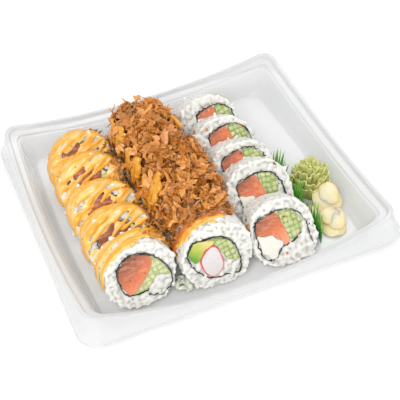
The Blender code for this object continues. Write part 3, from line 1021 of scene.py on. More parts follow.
def row_box(row):
    """The corners of the box around a row's packed rolls."""
    boxes = np.array([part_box(name) for name in row_names(row)])
    return boxes[:, 0].min(axis=0), boxes[:, 1].max(axis=0)


def all_rolls():
    """Every roll with its row and its place in it."""
    for row in ROWS:
        for number, name in enumerate(row_names(row)):
            yield row, number, Roll(name)


def press_flat(mesh, height):
    """Cut away what lies below a height and close the cut."""
    work = bmesh.new()
    work.from_mesh(mesh)
    bmesh.ops.bisect_plane(work, geom=work.verts[:] + work.edges[:] + work.faces[:],
                           dist=0.00001, plane_co=(0, 0, height), plane_no=(0, 0, 1),
                           clear_inner=True)
    bmesh.ops.holes_fill(work, edges=[edge for edge in work.edges if edge.is_boundary], sides=0)
    bmesh.ops.recalc_face_normals(work, faces=work.faces[:])
    work.to_mesh(mesh)
    work.free()


def drum(roll, seed):
    """Points and faces of a roll's packed rice, a closed lumpy drum."""
    steps = 120
    angle = np.arange(steps) * TURN / steps
    reach = roll.reach(angle) - RECESS
    deep = roll.thickness - RECESS
    cap = [(share * (reach - EDGE), 0.0) for share in (0.2, 0.4, 0.6, 0.8, 1.0)]
    for share in (0.25, 0.5, 0.75, 1.0):
        bend = share * TURN / 4
        cap.append((reach - EDGE + EDGE * math.sin(bend), EDGE * (1 - math.cos(bend))))
    rows = [(far, RECESS + depth) for far, depth in cap]
    for share in (0.15, 0.3, 0.45, 0.6, 0.75, 0.9):
        depth = RECESS + EDGE + share * (deep - RECESS - 2 * EDGE)
        rows.append((reach + roll.swell(depth), depth))
    rows += [(far, deep - depth) for far, depth in reversed(cap)]
    points = np.concatenate(
        [roll.at(far * np.cos(angle), depth, far * np.sin(angle)) for far, depth in rows]
        + [roll.at(np.zeros(2), np.array([RECESS, deep]), np.zeros(2))])
    from_axis = points - roll.centre
    from_axis -= np.outer(from_axis @ roll.inward, roll.inward)
    outward = from_axis / (np.linalg.norm(from_axis, axis=1, keepdims=True) + 1e-9)
    points = points + outward * (0.35 * MM * ripple(points, 5 * MM, seed))[:, None]
    points += roll.inward * (0.25 * MM * ripple(points, 4 * MM, seed + 1))[:, None]
    return points, capped_faces(len(rows), steps)


def grain_form():
    """One rice grain about one unit long: points and faces of a blunt, bent capsule."""
    sides, stops = 6, (-0.42, -0.17, 0.17, 0.42)
    widths = (0.62, 1.0, 1.0, 0.62)
    angle = np.arange(sides) * TURN / sides
    rings = [np.column_stack([np.full(sides, along), np.cos(angle) * width / 2,
                              np.sin(angle) * width / 2])
             for along, width in zip(stops, widths)]
    points = np.concatenate(rings + [[(-0.5, 0, 0)], [(0.5, 0, 0)]])
    return points, triangles(capped_faces(len(stops), sides))


def lying(normals, rng, tilt):
    """Directions out of, along and across a surface for bits that lie on it at random."""
    normals = normals + rng.normal(scale=tilt, size=normals.shape)
    normals /= np.linalg.norm(normals, axis=1, keepdims=True)
    helper = rng.normal(size=normals.shape)
    along = helper - (helper * normals).sum(axis=1, keepdims=True) * normals
    along /= np.linalg.norm(along, axis=1, keepdims=True)
    return normals, along, np.cross(normals, along)


def stamp(shape, form, spots, normals, sizes, rng, tilt):
    """Join copies of a form at the spots, lying on the surface there and turned at random.

    sizes holds the length, width and thickness of each copy.
    """
    form_points, form_faces = form
    count, corners = len(spots), len(form_points)
    normals, along, side = lying(normals, rng, tilt)
    local = form_points[None] * sizes[:, None]
    bow = form_points[:, 0] ** 2 * rng.normal(size=(count, 1)) * GRAIN_BEND
    local[..., 1] += 2 * bow * sizes[:, :1]
    points = (spots[:, None] + local[..., :1] * along[:, None] + local[..., 1:2] * side[:, None]
              + local[..., 2:] * normals[:, None])
    faces = (form_faces[None] + np.arange(count)[:, None, None] * corners).reshape(-1, 3)
    shape.add(points, faces, np.repeat(rng.uniform(0.2, 0.8, count), corners))


def grain_sizes(settings, count, rng):
    """Lengths, widths and thicknesses of cooked grains."""
    scale = rng.normal(1, 0.1, (count, 3)).clip(0.75, 1.25)
    return scale * (settings.grain_length, settings.grain_width, 0.72 * settings.grain_width)


def rice_spots(roll, layout, spacing, rng, sink, face_sink):
    """Places and outward directions of the outer grains of one roll.

    sink is how much deeper the grains of its side lie, and face_sink those of its front.
    """
    spots, normals = [], []
    mean = roll.reaches.mean()
    cap = int(math.pi * mean ** 2 / (0.87 * spacing ** 2))
    order = np.arange(cap) + 0.5
    for depth, direction in ((RECESS, -1.0), (roll.thickness - RECESS, 1.0)):
        angle = (order * GOLDEN + rng.uniform(0, TURN)) % TURN
        far = np.sqrt(order / cap) * (roll.reach(angle) - 0.9 * MM)
        flat = np.column_stack([far * np.cos(angle), far * np.sin(angle)])
        flat += rng.normal(scale=0.22 * spacing, size=flat.shape)
        keep = nearest(flat, layout["nori"]) > 1.15 * MM
        for kind, outline in layout.items():
            if kind != "nori":
                keep &= ~inside(flat, outline) & (nearest(flat, outline) > 0.7 * MM)
        flat = flat[keep]
        deeper = depth - face_sink * direction * (direction < 0)
        spots.append(roll.at(flat[:, 0], deeper + rng.normal(scale=0.15 * MM, size=len(flat)),
                             flat[:, 1]))
        normals.append(np.tile(roll.inward * direction, (len(flat), 1)))
    rows = max(3, round((roll.thickness - EDGE) / (0.9 * spacing)))
    columns = round(TURN * mean / spacing)
    row, column = np.meshgrid(np.arange(rows), np.arange(columns), indexing="ij")
    angle = (column + 0.5 * (row % 2) + rng.normal(scale=0.2, size=row.shape)) * TURN / columns
    depth = EDGE * 0.8 + (row + rng.normal(scale=0.15, size=row.shape) + 0.3) / rows * (
        roll.thickness - EDGE * 1.6)
    angle, depth = angle.ravel(), depth.ravel()
    spots.append(roll.on_side(angle, depth, -RECESS - sink))
    normals.append(roll.outward(angle))
    spots, normals = np.concatenate(spots), np.concatenate(normals)
    keep = spots[:, 2] > roll.floor + 0.9 * MM
    return spots[keep], normals[keep]


def add_ribbon(shape, roll, path, closed, settings, seed):
    """The seaweed: an uneven band through the roll along a line of its face."""
    wobble = [ripple(path, 2.6 * MM, seed + k) for k in (0, 1)]
    path = path + 0.36 * MM * np.stack(wobble, axis=-1)
    after = np.roll(path, -1, axis=0) if closed else np.append(path[1:], path[-1:], axis=0)
    before = np.roll(path, 1, axis=0) if closed else np.insert(path[:-1], 0, path[0], axis=0)
    along = after - before
    along /= np.linalg.norm(along, axis=1, keepdims=True) + 1e-12
    side = np.column_stack([-along[:, 1], along[:, 0]])
    half = settings.nori * (0.5 + 0.26 * ripple(path, 9 * MM, seed + 2)
                            + 0.16 * ripple(path, 2.5 * MM, seed + 4)).clip(0.16, 1.1)[:, None]
    outer, inner = path + side * half, path - side * half
    front = -0.1 * MM + 0.2 * MM * ripple(path, 5 * MM, seed + 3)
    back = roll.thickness - front
    ring = np.stack([roll.at(edge[:, 0], depth, edge[:, 1]) for edge, depth in (
        (outer, front), (outer, back), (inner, back), (inner, front))], axis=1)
    ring[..., 2] = np.maximum(ring[..., 2], roll.floor + 0.3 * MM)
    faces = grid_faces(len(path), 4, close_rows=closed).tolist()
    if not closed:
        last = 4 * (len(path) - 1)
        faces += [[3, 2, 1, 0], [last, last + 1, last + 2, last + 3]]
    shape.add(ring.reshape(-1, 3), faces)


# Where the rings of a filling's cut face lie, from its middle to its outline.
CAP_SHARES = (0.15, 0.3, 0.45, 0.58, 0.7, 0.8, 0.88, 0.93, 0.965)
STICK_CAP_SHARES = (0.6, 0.93)


def add_block(shape, roll, outline, proud, seed, rough, tint=None, caps=CAP_SHARES):
    """A filling with a rounded outline, running through the roll and proud at both cuts."""
    outline = np.asarray(outline)
    middle = outline.mean(axis=0)
    rows = [(share, -proud * (1 - 0.5 * share ** 4)) for share in caps]
    rows += [(0.99, -0.25 * proud), (1.0, 0.5 * MM), (1.0, 0.5 * roll.thickness)]
    mirrored = [(share, roll.thickness - depth) for share, depth in reversed(rows[:-1])]
    rows = [(0.0, -proud)] + rows + mirrored + [(0.0, roll.thickness + proud)]
    flat = np.concatenate([middle + (outline - middle) * share for share, _ in rows])
    depth = np.repeat([depth for _, depth in rows], len(outline))
    share = np.repeat([share for share, _ in rows], len(outline))
    relief = rough * ripple(flat, 3 * MM, seed) * (1 - share ** 8)
    facing = np.where(depth < roll.thickness / 2, 1.0, -1.0)
    points = roll.at(flat[:, 0], depth + relief * facing, flat[:, 1])
    points[:, 2] = np.maximum(points[:, 2], roll.floor + 0.4 * MM)
    count = len(outline)
    value = 0.5
    if tint is not None:
        value = tint(np.concatenate([flat[count:-count], middle[None], middle[None]]))
    shape.add(np.concatenate([points[count:-count], points[:1], points[-1:]]),
              capped_faces(len(rows) - 2, count), value)


def turned_by(angle):
    """A matrix that turns rows of flat points by an angle."""
    return np.array([[math.cos(angle), math.sin(angle)], [-math.sin(angle), math.cos(angle)]])


def even_tint(value):
    """The same tint all over a filling."""
    def tint(flat):
        return np.full(len(flat), value)
    return tint


def add_sticks(shape, roll, outline, size, proud, rng, seed, pale):
    """Cucumber cut into fine sticks that fill an outline, over a base that joins them.

    pale is how far their green has faded.
    """
    add_block(shape, roll, outline, 0.05 * MM, seed, 0.1 * MM, even_tint(0.04 + 0.4 * pale))
    low, high = outline.min(axis=0), outline.max(axis=0)
    lean = rng.uniform(-0.2, 0.35)
    reach = np.arange(-8, 9) * size
    grid = np.stack(np.meshgrid(reach * 0.94, reach * 1.06), axis=-1).reshape(-1, 2)
    grid = grid @ turned_by(lean) + (low + high) / 2
    grid += rng.normal(scale=0.09 * size, size=grid.shape)
    grid = grid[inside(grid, outline) | (nearest(grid, outline) < 0.22 * size)]
    angle = np.arange(16) * TURN / 16
    square = np.column_stack([np.sign(np.cos(angle)) * np.abs(np.cos(angle)) ** 0.45,
                              np.sign(np.sin(angle)) * np.abs(np.sin(angle)) ** 0.45])
    edge = outline.mean(axis=0)
    for number, spot in enumerate(grid):
        scale = size * rng.uniform(0.40, 0.50) * rng.uniform(0.88, 1.1, 2)
        stick = (square * scale) @ turned_by(lean + rng.normal(scale=0.2)) + spot
        if inside(stick, outline).mean() < 0.35:
            continue
        for _ in range(4):
            stick = np.where(inside(stick, outline)[:, None], stick, stick + 0.12 * (edge - stick))
        shade = rng.uniform(0.35, 0.9) * (1 - pale) + pale

        def tint(flat, shade=shade, stick=stick):
            out = np.linalg.norm(flat - stick.mean(axis=0), axis=1) / (0.5 * size)
            return np.clip(shade - 0.22 * out ** 3, 0, 1)

        add_block(shape, roll, stick, proud * rng.uniform(0.6, 1.6), seed + number, 0.1 * MM,
                  tint, STICK_CAP_SHARES)


def avocado_tint(flat):
    """Greener towards the lower left, where the avocado's skin was."""
    return np.clip(0.62 + 0.035 * (flat[:, 0] / MM + 10) + 0.028 * (flat[:, 1] / MM - 8), 0, 1)


def crab_tint(outline):
    """White inside, with a red skin."""
    def tint(flat):
        far = nearest(flat, outline)
        return np.clip(1.0 - 0.6 * np.clip(far / MM - 0.45, 0, 1), 0, 1)
    return tint


def salmon_tint(flat):
    """Browner towards the upper left."""
    return np.clip(0.56 - 0.040 * (flat[:, 1] / MM - 2) + 0.026 * (flat[:, 0] / MM + 5), 0, 1)


def brown_salmon_tint(flat):
    """Browner all over, as in the left row's first roll."""
    return salmon_tint(flat) - 0.10


def build_rice(settings):
    """Every roll's rice: grains pressed into one skin, loose ones on it, and the seaweed."""
    fewer = 1
    nori = Shape()
    skins = {row: [] for row in ROWS}
    loose = {row: Shape() for row in ROWS}
    form = grain_form()
    for place, (row, number, roll) in enumerate(all_rolls()):
        rng = np.random.default_rng(100 + place)
        layout = layout_of(roll, row, number)
        shape = Shape()
        shape.add(*drum(roll, place))
        sink = SAUCED_SINK if row == "left" else 0.0
        spots, normals = rice_spots(roll, layout, FLAT_SPACING * fewer, rng, sink,
                                    sink if number else 0.0)
        stamp(shape, form, spots, normals, grain_sizes(settings, len(spots), rng), rng, 0.10)
        skin = fused(f"rice_{row}_{number}", shape, 0.6 * MM * fewer, 1)
        press_flat(skin, roll.floor)
        skins[row].append(skin)
        pick = rng.choice(len(spots), LOOSE_GRAINS, replace=False)
        sizes = grain_sizes(settings, LOOSE_GRAINS, rng) * 0.85
        stamp(loose[row], form, spots[pick] + normals[pick] * 0.30 * MM, normals[pick], sizes, rng,
              0.15)
        add_ribbon(nori, roll, layout["nori"], LAYOUTS[row]["closed"], settings, place)
    for row in ROWS:
        joined = Shape()
        for skin in skins[row]:
            points = read_points(skin)
            # Painted shade: the pressed rice is tinted darker in the hollows between its grains and
            # lighter on their tops, over a random uneven tone.
            shade = 0.52 + 0.12 * ripple(points, 7 * MM, 12) + standing_out(skin) / (0.14 * MM)
            joined.add(points, [list(face.vertices) for face in skin.polygons],
                       np.clip(shade, 0, 1))
            bpy.data.meshes.remove(skin)
        look = rice_look(f"rice_{row}", tuple(settings.colour), 5 * MM)
        slot = ROW_SLOTS[row]
        add_piece(f"rice_pressed_{row}", joined.mesh(f"rice_pressed_{row}"), look, slot,
                  row_names(row))
        add_piece(f"rice_grains_{row}", loose[row].mesh(f"rice_grains_{row}"), look, slot)
    add_piece("nori", nori.mesh("nori"), nori_look(tuple(settings.nori_colour)), "nori", sharp=40)


def build_fillings(settings):
    """Salmon, cucumber, avocado, crab stick and cream cheese in every roll."""
    shapes = {kind: Shape() for kind in
              ("salmon", "cucumber", "avocado", "crab_stick", "cream_cheese")}
    for place, (row, number, roll) in enumerate(all_rolls()):
        rng = np.random.default_rng(300 + place)
        for kind, outline in layout_of(roll, row, number).items():
            if kind == "nori":
                continue
            if kind == "cucumber":
                add_sticks(shapes[kind], roll, outline, settings.stick, settings.proud, rng,
                           1000 + 40 * place, 0.75 if row == "left" else 0.1)
                continue
            tint = {"avocado": avocado_tint, "salmon": salmon_tint,
                    "crab_stick": crab_tint(outline)}.get(kind)
            # Painted shade: the left row's salmon behind its first roll shows only through openings
            # in the sauce, so it is tinted nearly its darkest brown, partly as sauce-soaked flesh
            # and partly as shade in the openings.
            if kind == "salmon" and row == "left":
                tint = even_tint(0.04) if number else brown_salmon_tint
            proud = settings.proud * (2.2 if kind == "cream_cheese" else 1.0)
            rough = (0.25 if kind == "salmon" else 0.1) * MM
            add_block(shapes[kind], roll, outline, proud, 500 + place, rough, tint)
    looks = {
        "salmon": salmon_look(tuple(settings.salmon)),
        "cucumber": cucumber_look(tuple(settings.cucumber)),
        "avocado": avocado_look(tuple(settings.avocado)),
        "crab_stick": crab_look(),
        "cream_cheese": cheese_look(tuple(settings.cheese)),
    }
    for kind, shape in shapes.items():
        add_piece(kind, shape.mesh(kind), looks[kind], kind, sharp=55)


# ---------------------------------------------------------------- sauce


# Openings in the sauce over the left row's cut faces: the roll's number, then both ends of
# the opening in millimetres from the middle of the face, and half its width.
SAUCE_SLOTS = (
    (5, (-10.5, 6.6), (2.3, 12.5), 1.1), (5, (3.4, 3.7), (16.5, 7.7), 0.7),
    (5, (-6.0, 1.0), (4.0, 4.6), 0.5),
    (4, (-10.1, 8.4), (-4.0, 12.3), 0.9), (4, (-1.8, 8.7), (2.6, 11.6), 0.8),
    (4, (-9.3, -1.1), (0.5, 4.4), 0.7), (4, (3.6, 7.7), (11.4, 9.7), 1.2),
    (4, (-3.0, 3.6), (6.0, 7.0), 0.6),
    (3, (-11.3, 2.0), (-0.4, 12.4), 0.9), (3, (-7.0, 1.6), (3.4, 9.8), 0.6),
    (3, (-1.8, 3.0), (7.8, 6.9), 1.2), (3, (-9.0, -2.6), (-1.0, 3.4), 0.6),
    (2, (-13.9, 1.8), (-3.3, 10.7), 1.6), (2, (2.2, 3.5), (7.4, 7.4), 1.1),
    (2, (-3.0, 4.2), (1.2, 9.0), 0.7), (2, (8.2, 2.6), (12.0, 6.0), 0.9),
    (2, (-6.0, -2.0), (1.0, 2.6), 0.6),
)


def slot_lines():
    """The openings in the sauce as rows of points, each with half its width there."""
    rows = []
    for number, start, end, half in SAUCE_SLOTS:
        roll = Roll(f"roll_left_{number}")
        share = np.linspace(0, 1, 24)
        flat = np.outer(1 - share, start) + np.outer(share, end)
        points = roll.at(flat[:, 0] * MM, np.zeros(24), flat[:, 1] * MM)
        rows.append(np.column_stack([points, half * MM * np.sin(np.pi * share) ** 0.5]))
    return np.concatenate(rows)


def droop(surface, start, length, rng):
    """A line down the side of a surface from a point at its left edge."""
    points = []
    y = start[1]
    for step in np.arange(1.0, length / MM) * MM:
        y += rng.normal(scale=0.2) * MM
        spot = Vector((start[0] - 20 * MM, y, start[2] - step))
        hit = surface.ray_cast(spot, Vector((1, 0, 0)), 45 * MM)[0]
        if hit is None:
            break
        points.append((hit.x, y, hit.z))
    return np.array(points[::-1]).reshape(-1, 3)


def runs_of(keep):
    """The numbers of each unbroken run of four or more points that are kept."""
    runs = np.split(np.arange(len(keep)), np.flatnonzero(np.diff(keep.astype(int))) + 1)
    return [run for run in runs if len(run) > 3 and keep[run[0]]]


def add_stripes(shape, surface, low, high, settings, wanted, base, rng, wide=1.0, flat=0.5,
                shift=0.0, drip=0.0, stray=0.0):
    """Slanted stripes over an area in plan, kept where wanted(points) says so.

    stray is how far, in radians, each stripe may leave the common direction.
    """
    corners = np.array([(x, y) for x in (low[0], high[0]) for y in (low[1], high[1])])
    straight = np.array([math.cos(settings.slant), math.sin(settings.slant)])
    sideways = np.array([-straight[1], straight[0]])
    middle = corners.mean(axis=0)
    offsets, lengths = corners @ sideways, (corners - middle) @ straight
    for number, offset in enumerate(np.arange(offsets.min(), offsets.max(), settings.pitch)):
        slant = settings.slant + rng.uniform(-stray, stray)
        direction = np.array([math.cos(slant), math.sin(slant)])
        side = np.array([-direction[1], direction[0]])
        across = offset + (shift + rng.normal(scale=0.14)) * settings.pitch
        start = middle + side * (across - middle @ sideways)
        plan = np.arange(lengths.min(), lengths.max(), 0.8 * MM)[:, None] * direction + start
        plan += side * (0.6 * MM * ripple(plan, 15 * MM, rng.integers(1 << 30)))[:, None]
        laid = np.array([laid_at(surface, x, y, base) for x, y in plan])
        line = np.column_stack([plan, laid[:, 0]])
        for run in runs_of(wanted(line) & (line[:, 2] > base)):
            path, facing = line[run], laid[run, 1:]
            if drip and path[0, 0] < low[0] + 5 * MM:
                down = droop(surface, path[0], drip * rng.uniform(0.25, 1.0), rng)
                path = np.concatenate([down, path])
                facing = np.concatenate([np.tile((-1.0, 0, 0.3), (len(down), 1)), facing])
            path, facing = smoothed(path, 2), smoothed(facing, 3)
            facing /= np.linalg.norm(facing, axis=1, keepdims=True)
            width = wide * settings.width * (1 + 0.24 * ripple(path, 8 * MM, 70 + number))
            ends = np.minimum(np.arange(len(path)) + 1, np.arange(len(path), 0, -1))
            width = width / 2 * np.minimum(1, 0.5 + 0.15 * ends)
            lift = (0.35 * flat * width)[:, None] * facing
            shape.add(*tube(path + lift, width, 10, flat, facing))


# Pools of sauce on the left and back of the heap, seen from above: both ends and half the
# width of each, as shares of the heap's length and width from its front left corner.
HEAP_POOLS = (
    ((0.13, 0.71), (0.00, 0.67), 3.4), ((0.12, 0.46), (0.00, 0.43), 3.6),
    ((0.26, 0.26), (0.03, 0.22), 3.8), ((0.76, 0.96), (0.92, 0.90), 2.6),
    ((0.86, 0.70), (0.95, 0.60), 2.3), ((0.50, 0.93), (0.62, 0.94), 2.0),
    ((0.08, 0.58), (0.00, 0.54), 2.4), ((0.10, 0.34), (0.01, 0.31), 2.6),
    ((0.10, 0.86), (0.02, 0.82), 2.0),
)


def heap_pools():
    """The middle lines of the pools of sauce on the heap."""
    low, high = (np.array(corner)[:2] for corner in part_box("fried_onions"))
    heap = surface_of(["fried_onions"])
    paths = []
    for start, end, _ in HEAP_POOLS:
        share = np.linspace(0, 1, 16)[:, None]
        plan = low + (high - low) * (np.array(start) * (1 - share) + np.array(end) * share)
        height = [laid_at(heap, x, y, 25 * MM)[0] for x, y in plan]
        paths.append(np.column_stack([plan, height]))
    return paths


def tint_by_depth(mesh, surface, thin, full):
    """Tint a skin of sauce by how far it stands from the surface that it lies on."""
    depth = [surface.find_nearest(vertex.co)[3] or 0.0 for vertex in mesh.vertices]
    write_tint(mesh, np.clip((np.array(depth) - thin) / (full - thin), 0, 1))


def add_left_sauce(settings, rng, voxel):
    """Strands of sauce over a thin film, along the left row and down its side."""
    left = surface_of(row_names("left"))
    low, high = row_box("left")
    first = Roll("roll_left_1")
    crest = first.centre + first.up * first.reach(TURN / 4)
    slots = slot_lines()

    def over_left(points):
        beyond = points[:, 0] - crest[0]
        front = crest[1] + 4.5 * MM + np.where(beyond < 0, 0.36, 0.08) * beyond
        front += 1.6 * MM * ripple(points[:, :2], 14 * MM, 5)
        return points[:, 1] > front

    def clear_of_slots(points, more):
        far = np.linalg.norm(points[:, None] - slots[None, :, :3], axis=-1)
        return (far > slots[None, :, 3] + more).all(axis=1)

    def strand_over_left(points):
        return over_left(points) & clear_of_slots(points, 0.0)

    def film_over_left(points):
        stretched = points[:, :2] * (0.45, 1.0) + (0, -0.17) * points[:, :1]
        return (over_left(points) & clear_of_slots(points, 0.8 * MM)
                & (ripple(stretched, 6.5 * MM, 25) < 0.72))

    stripes = Shape()
    base = low[2] + 9 * MM
    add_stripes(stripes, left, low[:2], high[:2], settings, strand_over_left, base, rng, 0.63,
                0.95, 0.0, 15 * MM, 0.10)
    for shift in (0.25, 0.75):
        add_stripes(stripes, left, low[:2], high[:2], settings, film_over_left, base, rng, 0.95,
                    0.28, shift, 11 * MM)
    look = sauce_look("orange_sauce", tuple(settings.colour), tuple(settings.film), 0.3)
    mesh = fused("sauce_left", stripes, voxel, 1)
    tint_by_depth(mesh, left, 0.35 * MM, 1.35 * MM)
    add_piece("sauce_left", mesh, look, "orange_sauce")


def add_middle_sauce(settings, rng, voxel):
    """Sauce beside the onion, in bands on the middle row's first roll and in pools."""
    middle = surface_of(row_names("middle"))
    low, high = row_box("middle")
    heap_low, heap_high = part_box("fried_onions")
    front_roll = Roll("roll_middle_1")

    def beside_onion(points):
        edge = heap_low[0] + 5.5 * MM + 2.0 * MM * ripple(points[:, :2], 9 * MM, 15)
        rows = (points[:, 0] < edge) | (points[:, 1] > heap_high[1] - 6 * MM)
        return rows & (points[:, 1] > heap_low[1] + 4 * MM)

    shape = Shape()
    add_stripes(shape, middle, low[:2], high[:2], settings, beside_onion, low[2] + 10 * MM, rng,
                1.3, 0.4)
    for number in range(12):
        start = rng.uniform(0.17, 0.25)
        turn = np.linspace(start, rng.uniform(0.40, 0.45), 30) * TURN
        depth = (3.4 + 0.56 * number) * MM + 0.5 * MM * np.sin(6 * turn + number)
        path = front_roll.on_side(turn, depth, 0.15 * MM)
        kept = ripple(path, 9 * MM, 90 + number) > -1.3 + 0.16 * (11 - number)
        for run in runs_of(kept):
            shape.add(*tube(path[run], rng.uniform(0.7, 1.2) * MM, 8, 0.6))
    for path, (_, _, half) in zip(heap_pools(), HEAP_POOLS):
        for shift in (-0.8, -0.25, 0.3, 0.85):
            first, last = rng.integers(0, 5), 16 - rng.integers(0, 6)
            line = path[first:last] + (0, shift * half * MM, 2.2 * MM)
            line[:, 1] += 0.7 * MM * ripple(line, 6 * MM, int(100 * half + 9 * shift))
            uneven = ripple(line, 5 * MM, int(70 * half + 9 * shift)).clip(-1, 1)
            shape.add(*tube(line, half * (0.52 + 0.2 * uneven) * MM, 10, 0.8))
    mesh = fused("sauce_middle", shape, voxel)
    tint_by_depth(mesh, middle, 0.3 * MM, 1.3 * MM)
    colour = between(tuple(settings.colour), tuple(settings.glaze), 0.14)
    look = sauce_look("oily_sauce", colour, tuple(settings.film), 0.22)
    add_piece("sauce_middle", mesh, look, "orange_sauce")


def add_glaze(settings, voxel):
    """Two lines of dark glaze over the middle row's first roll."""
    front_roll = Roll("roll_middle_1")
    glaze = Shape()
    for number in range(2):
        turn = np.linspace(0.475 - 0.012 * number, 0.165 + 0.02 * number, 44) * TURN
        depth = (9.9 + 0.9 * number) * MM + 0.5 * MM * np.sin(5 * turn + 2 * number)
        thick = (0.85 + 0.25 * np.sin(9 * turn + number)) * MM
        glaze.add(*tube(front_roll.on_side(turn, depth, 0.75 * MM), thick, 8, 0.8))
    look = sauce_look("dark_glaze", tuple(settings.glaze), (0.62, 0.15, 0.015), 0.12)
    add_piece("dark_glaze", fused("dark_glaze", glaze, voxel), look, "dark_glaze")


def build_sauce(settings):
    """Orange sauce over the left row and beside the onion, and a dark glaze."""
    rng = np.random.default_rng(7)
    voxel = 0.5 * MM
    add_left_sauce(settings, rng, voxel)
    add_middle_sauce(settings, rng, voxel)
    add_glaze(settings, voxel)


# ---------------------------------------------------------------- fried onion


def strip_form():
    """A thin strip one unit long and one wide, with ragged narrow ends: points and faces."""
    sides, rows = 6, 9
    angle = np.arange(sides) * TURN / sides
    rings = []
    for row in range(rows):
        along = row / (rows - 1) - 0.5
        width = (1 - (2 * along) ** 4) * 0.42 + 0.08
        rings.append(np.column_stack([np.full(sides, along), np.cos(angle) * width,
                                      np.sin(angle) * 0.5]))
    points = np.concatenate(rings + [[(-0.53, 0, 0)], [(0.53, 0, 0)]])
    return points, triangles(capped_faces(rows, sides))


def add_strips(shape, spots, normals, length, width, rng, tilt, shades):
    """Join crinkled strips of onion, each bent and curled its own way, at the spots.

    shades weighs light against dark strips.
    """
    form_points, form_faces = strip_form()
    count, corners = len(spots), len(form_points)
    normals, along, side = lying(normals, rng, tilt)

    def each(low, high):
        return rng.uniform(low, high, (count, 1))

    long = length * rng.lognormal(0, 0.30, (count, 1)).clip(0.5, 1.7)
    wide = width * rng.lognormal(0, 0.32, (count, 1)).clip(0.5, 1.9)
    thick = each(0.35, 0.7) * MM
    reach, across, high = (form_points[None, :, k] for k in range(3))
    y = across * wide * (1 + 0.35 * np.sin(11 * reach + each(0, TURN)))
    y = y + 0.16 * wide * np.sin(14 * reach + each(0, TURN))
    z = high * thick + each(-0.2, 0.75) * (y / wide) ** 2 * wide
    z = z + 0.16 * wide * np.sin(each(12, 22) * reach + each(0, TURN)) * (0.4 + np.abs(2 * across))
    twist = rng.normal(0, 1.0, (count, 1)) * reach + each(-0.6, 0.6)
    y, z = y * np.cos(twist) - z * np.sin(twist), y * np.sin(twist) + z * np.cos(twist)
    bend = each(-2.6, 2.6)
    bend = np.where(np.abs(bend) < 0.2, 0.2, bend)
    turned = bend * reach
    x = long * np.sin(turned) / bend - y * np.sin(turned)
    y = long * (1 - np.cos(turned)) / bend + y * np.cos(turned)
    z = z + each(-0.35, 0.9) * long * (reach ** 2 - 0.08)
    points = (spots[:, None] + x[..., None] * along[:, None] + y[..., None] * side[:, None]
              + z[..., None] * normals[:, None])
    faces = (form_faces[None] + np.arange(count)[:, None, None] * corners).reshape(-1, 3)
    # Painted light: besides its own random brown, each strip is tinted lighter towards its edges,
    # for light shining through them.
    tint = rng.beta(*shades, (count, 1)) + 0.22 * (np.abs(2 * across) ** 2 - 0.4)
    shape.add(points, faces, np.clip(tint, 0, 1).ravel())


def surface_spots(mesh, count, rng, lowest):
    """Random places on the upward parts of a mesh, with their normals."""
    mesh.calc_loop_triangles()
    points = read_points(mesh)
    corners = np.array([triangle.vertices[:] for triangle in mesh.loop_triangles])
    normals = np.array([triangle.normal[:] for triangle in mesh.loop_triangles])
    areas = np.array([triangle.area for triangle in mesh.loop_triangles])
    areas = np.where(normals[:, 2] > lowest, areas, 0)
    pick = rng.choice(len(corners), count, p=areas / areas.sum())
    a, b = rng.uniform(size=(2, count))
    over = a + b > 1
    a, b = np.where(over, 1 - a, a), np.where(over, 1 - b, b)
    first, second, third = (points[corners[pick, k]] for k in range(3))
    return first + a[:, None] * (second - first) + b[:, None] * (third - first), normals[pick]


# Strips on the rolls beside the heap: the row, the side that they lie on, how many on each
# roll, and how far out they start as a share of the roll's width.
SHOULDER_STRIPS = (("left", 1, 150, 0.83), ("middle", -1, 120, 0.93), ("middle", 1, 60, 0.93))


def towards_back(points):
    """How far points of the heap lie towards its lower back end, from 0 to 1."""
    low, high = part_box("fried_onions")
    return np.clip(((points[:, 1] - low[1]) / (high[1] - low[1]) - 0.55) / 0.3, 0, 1)


def heap_spots(count, rng, pools, lowest=-0.15):
    """Random places on the heap outside its pools of sauce, with outward directions."""
    spots, normals = surface_spots(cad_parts["fried_onions"].data, count, rng, lowest)
    keep = nearest(spots[:, :2], pools) > rng.uniform(2.4, 6.0, count) * MM
    spots = spots - normals * (2.6 * MM * towards_back(spots))[:, None]
    return spots[keep], normals[keep]


def lifted(spots, normals, least, most, swing, rng):
    """Places moved off the surface at random and in waves, all in millimetres."""
    lift = (rng.uniform(least, most, len(spots)) + swing * ripple(spots, 12 * MM, 8)) * MM
    return spots + normals * lift[:, None]


def add_shoulder_strips(shape, settings, pools, fewer, rng):
    """Small strips beside the heap, on every roll but the first of each row."""
    for number in range(ROLLS_IN_ROW):
        for row, side, count, least in SHOULDER_STRIPS:
            name = row_names(row)[number]
            spots, normals = surface_spots(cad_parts[name].data, count // fewer, rng, -0.3)
            low, high = (np.array(corner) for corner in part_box(name))
            span, _, tall = ((spots - low) / (high - low)).T
            keep = (span if side > 0 else 1 - span) > least
            keep &= (tall > 0.45) & (tall < 0.93) & (number > 0)
            keep &= nearest(spots[:, :2], pools) > 3.4 * MM
            add_strips(shape, (spots + normals * 0.6 * MM)[keep], normals[keep],
                       0.75 * settings.length, 0.9 * settings.width, rng, 0.4, (1.5, 1.6))


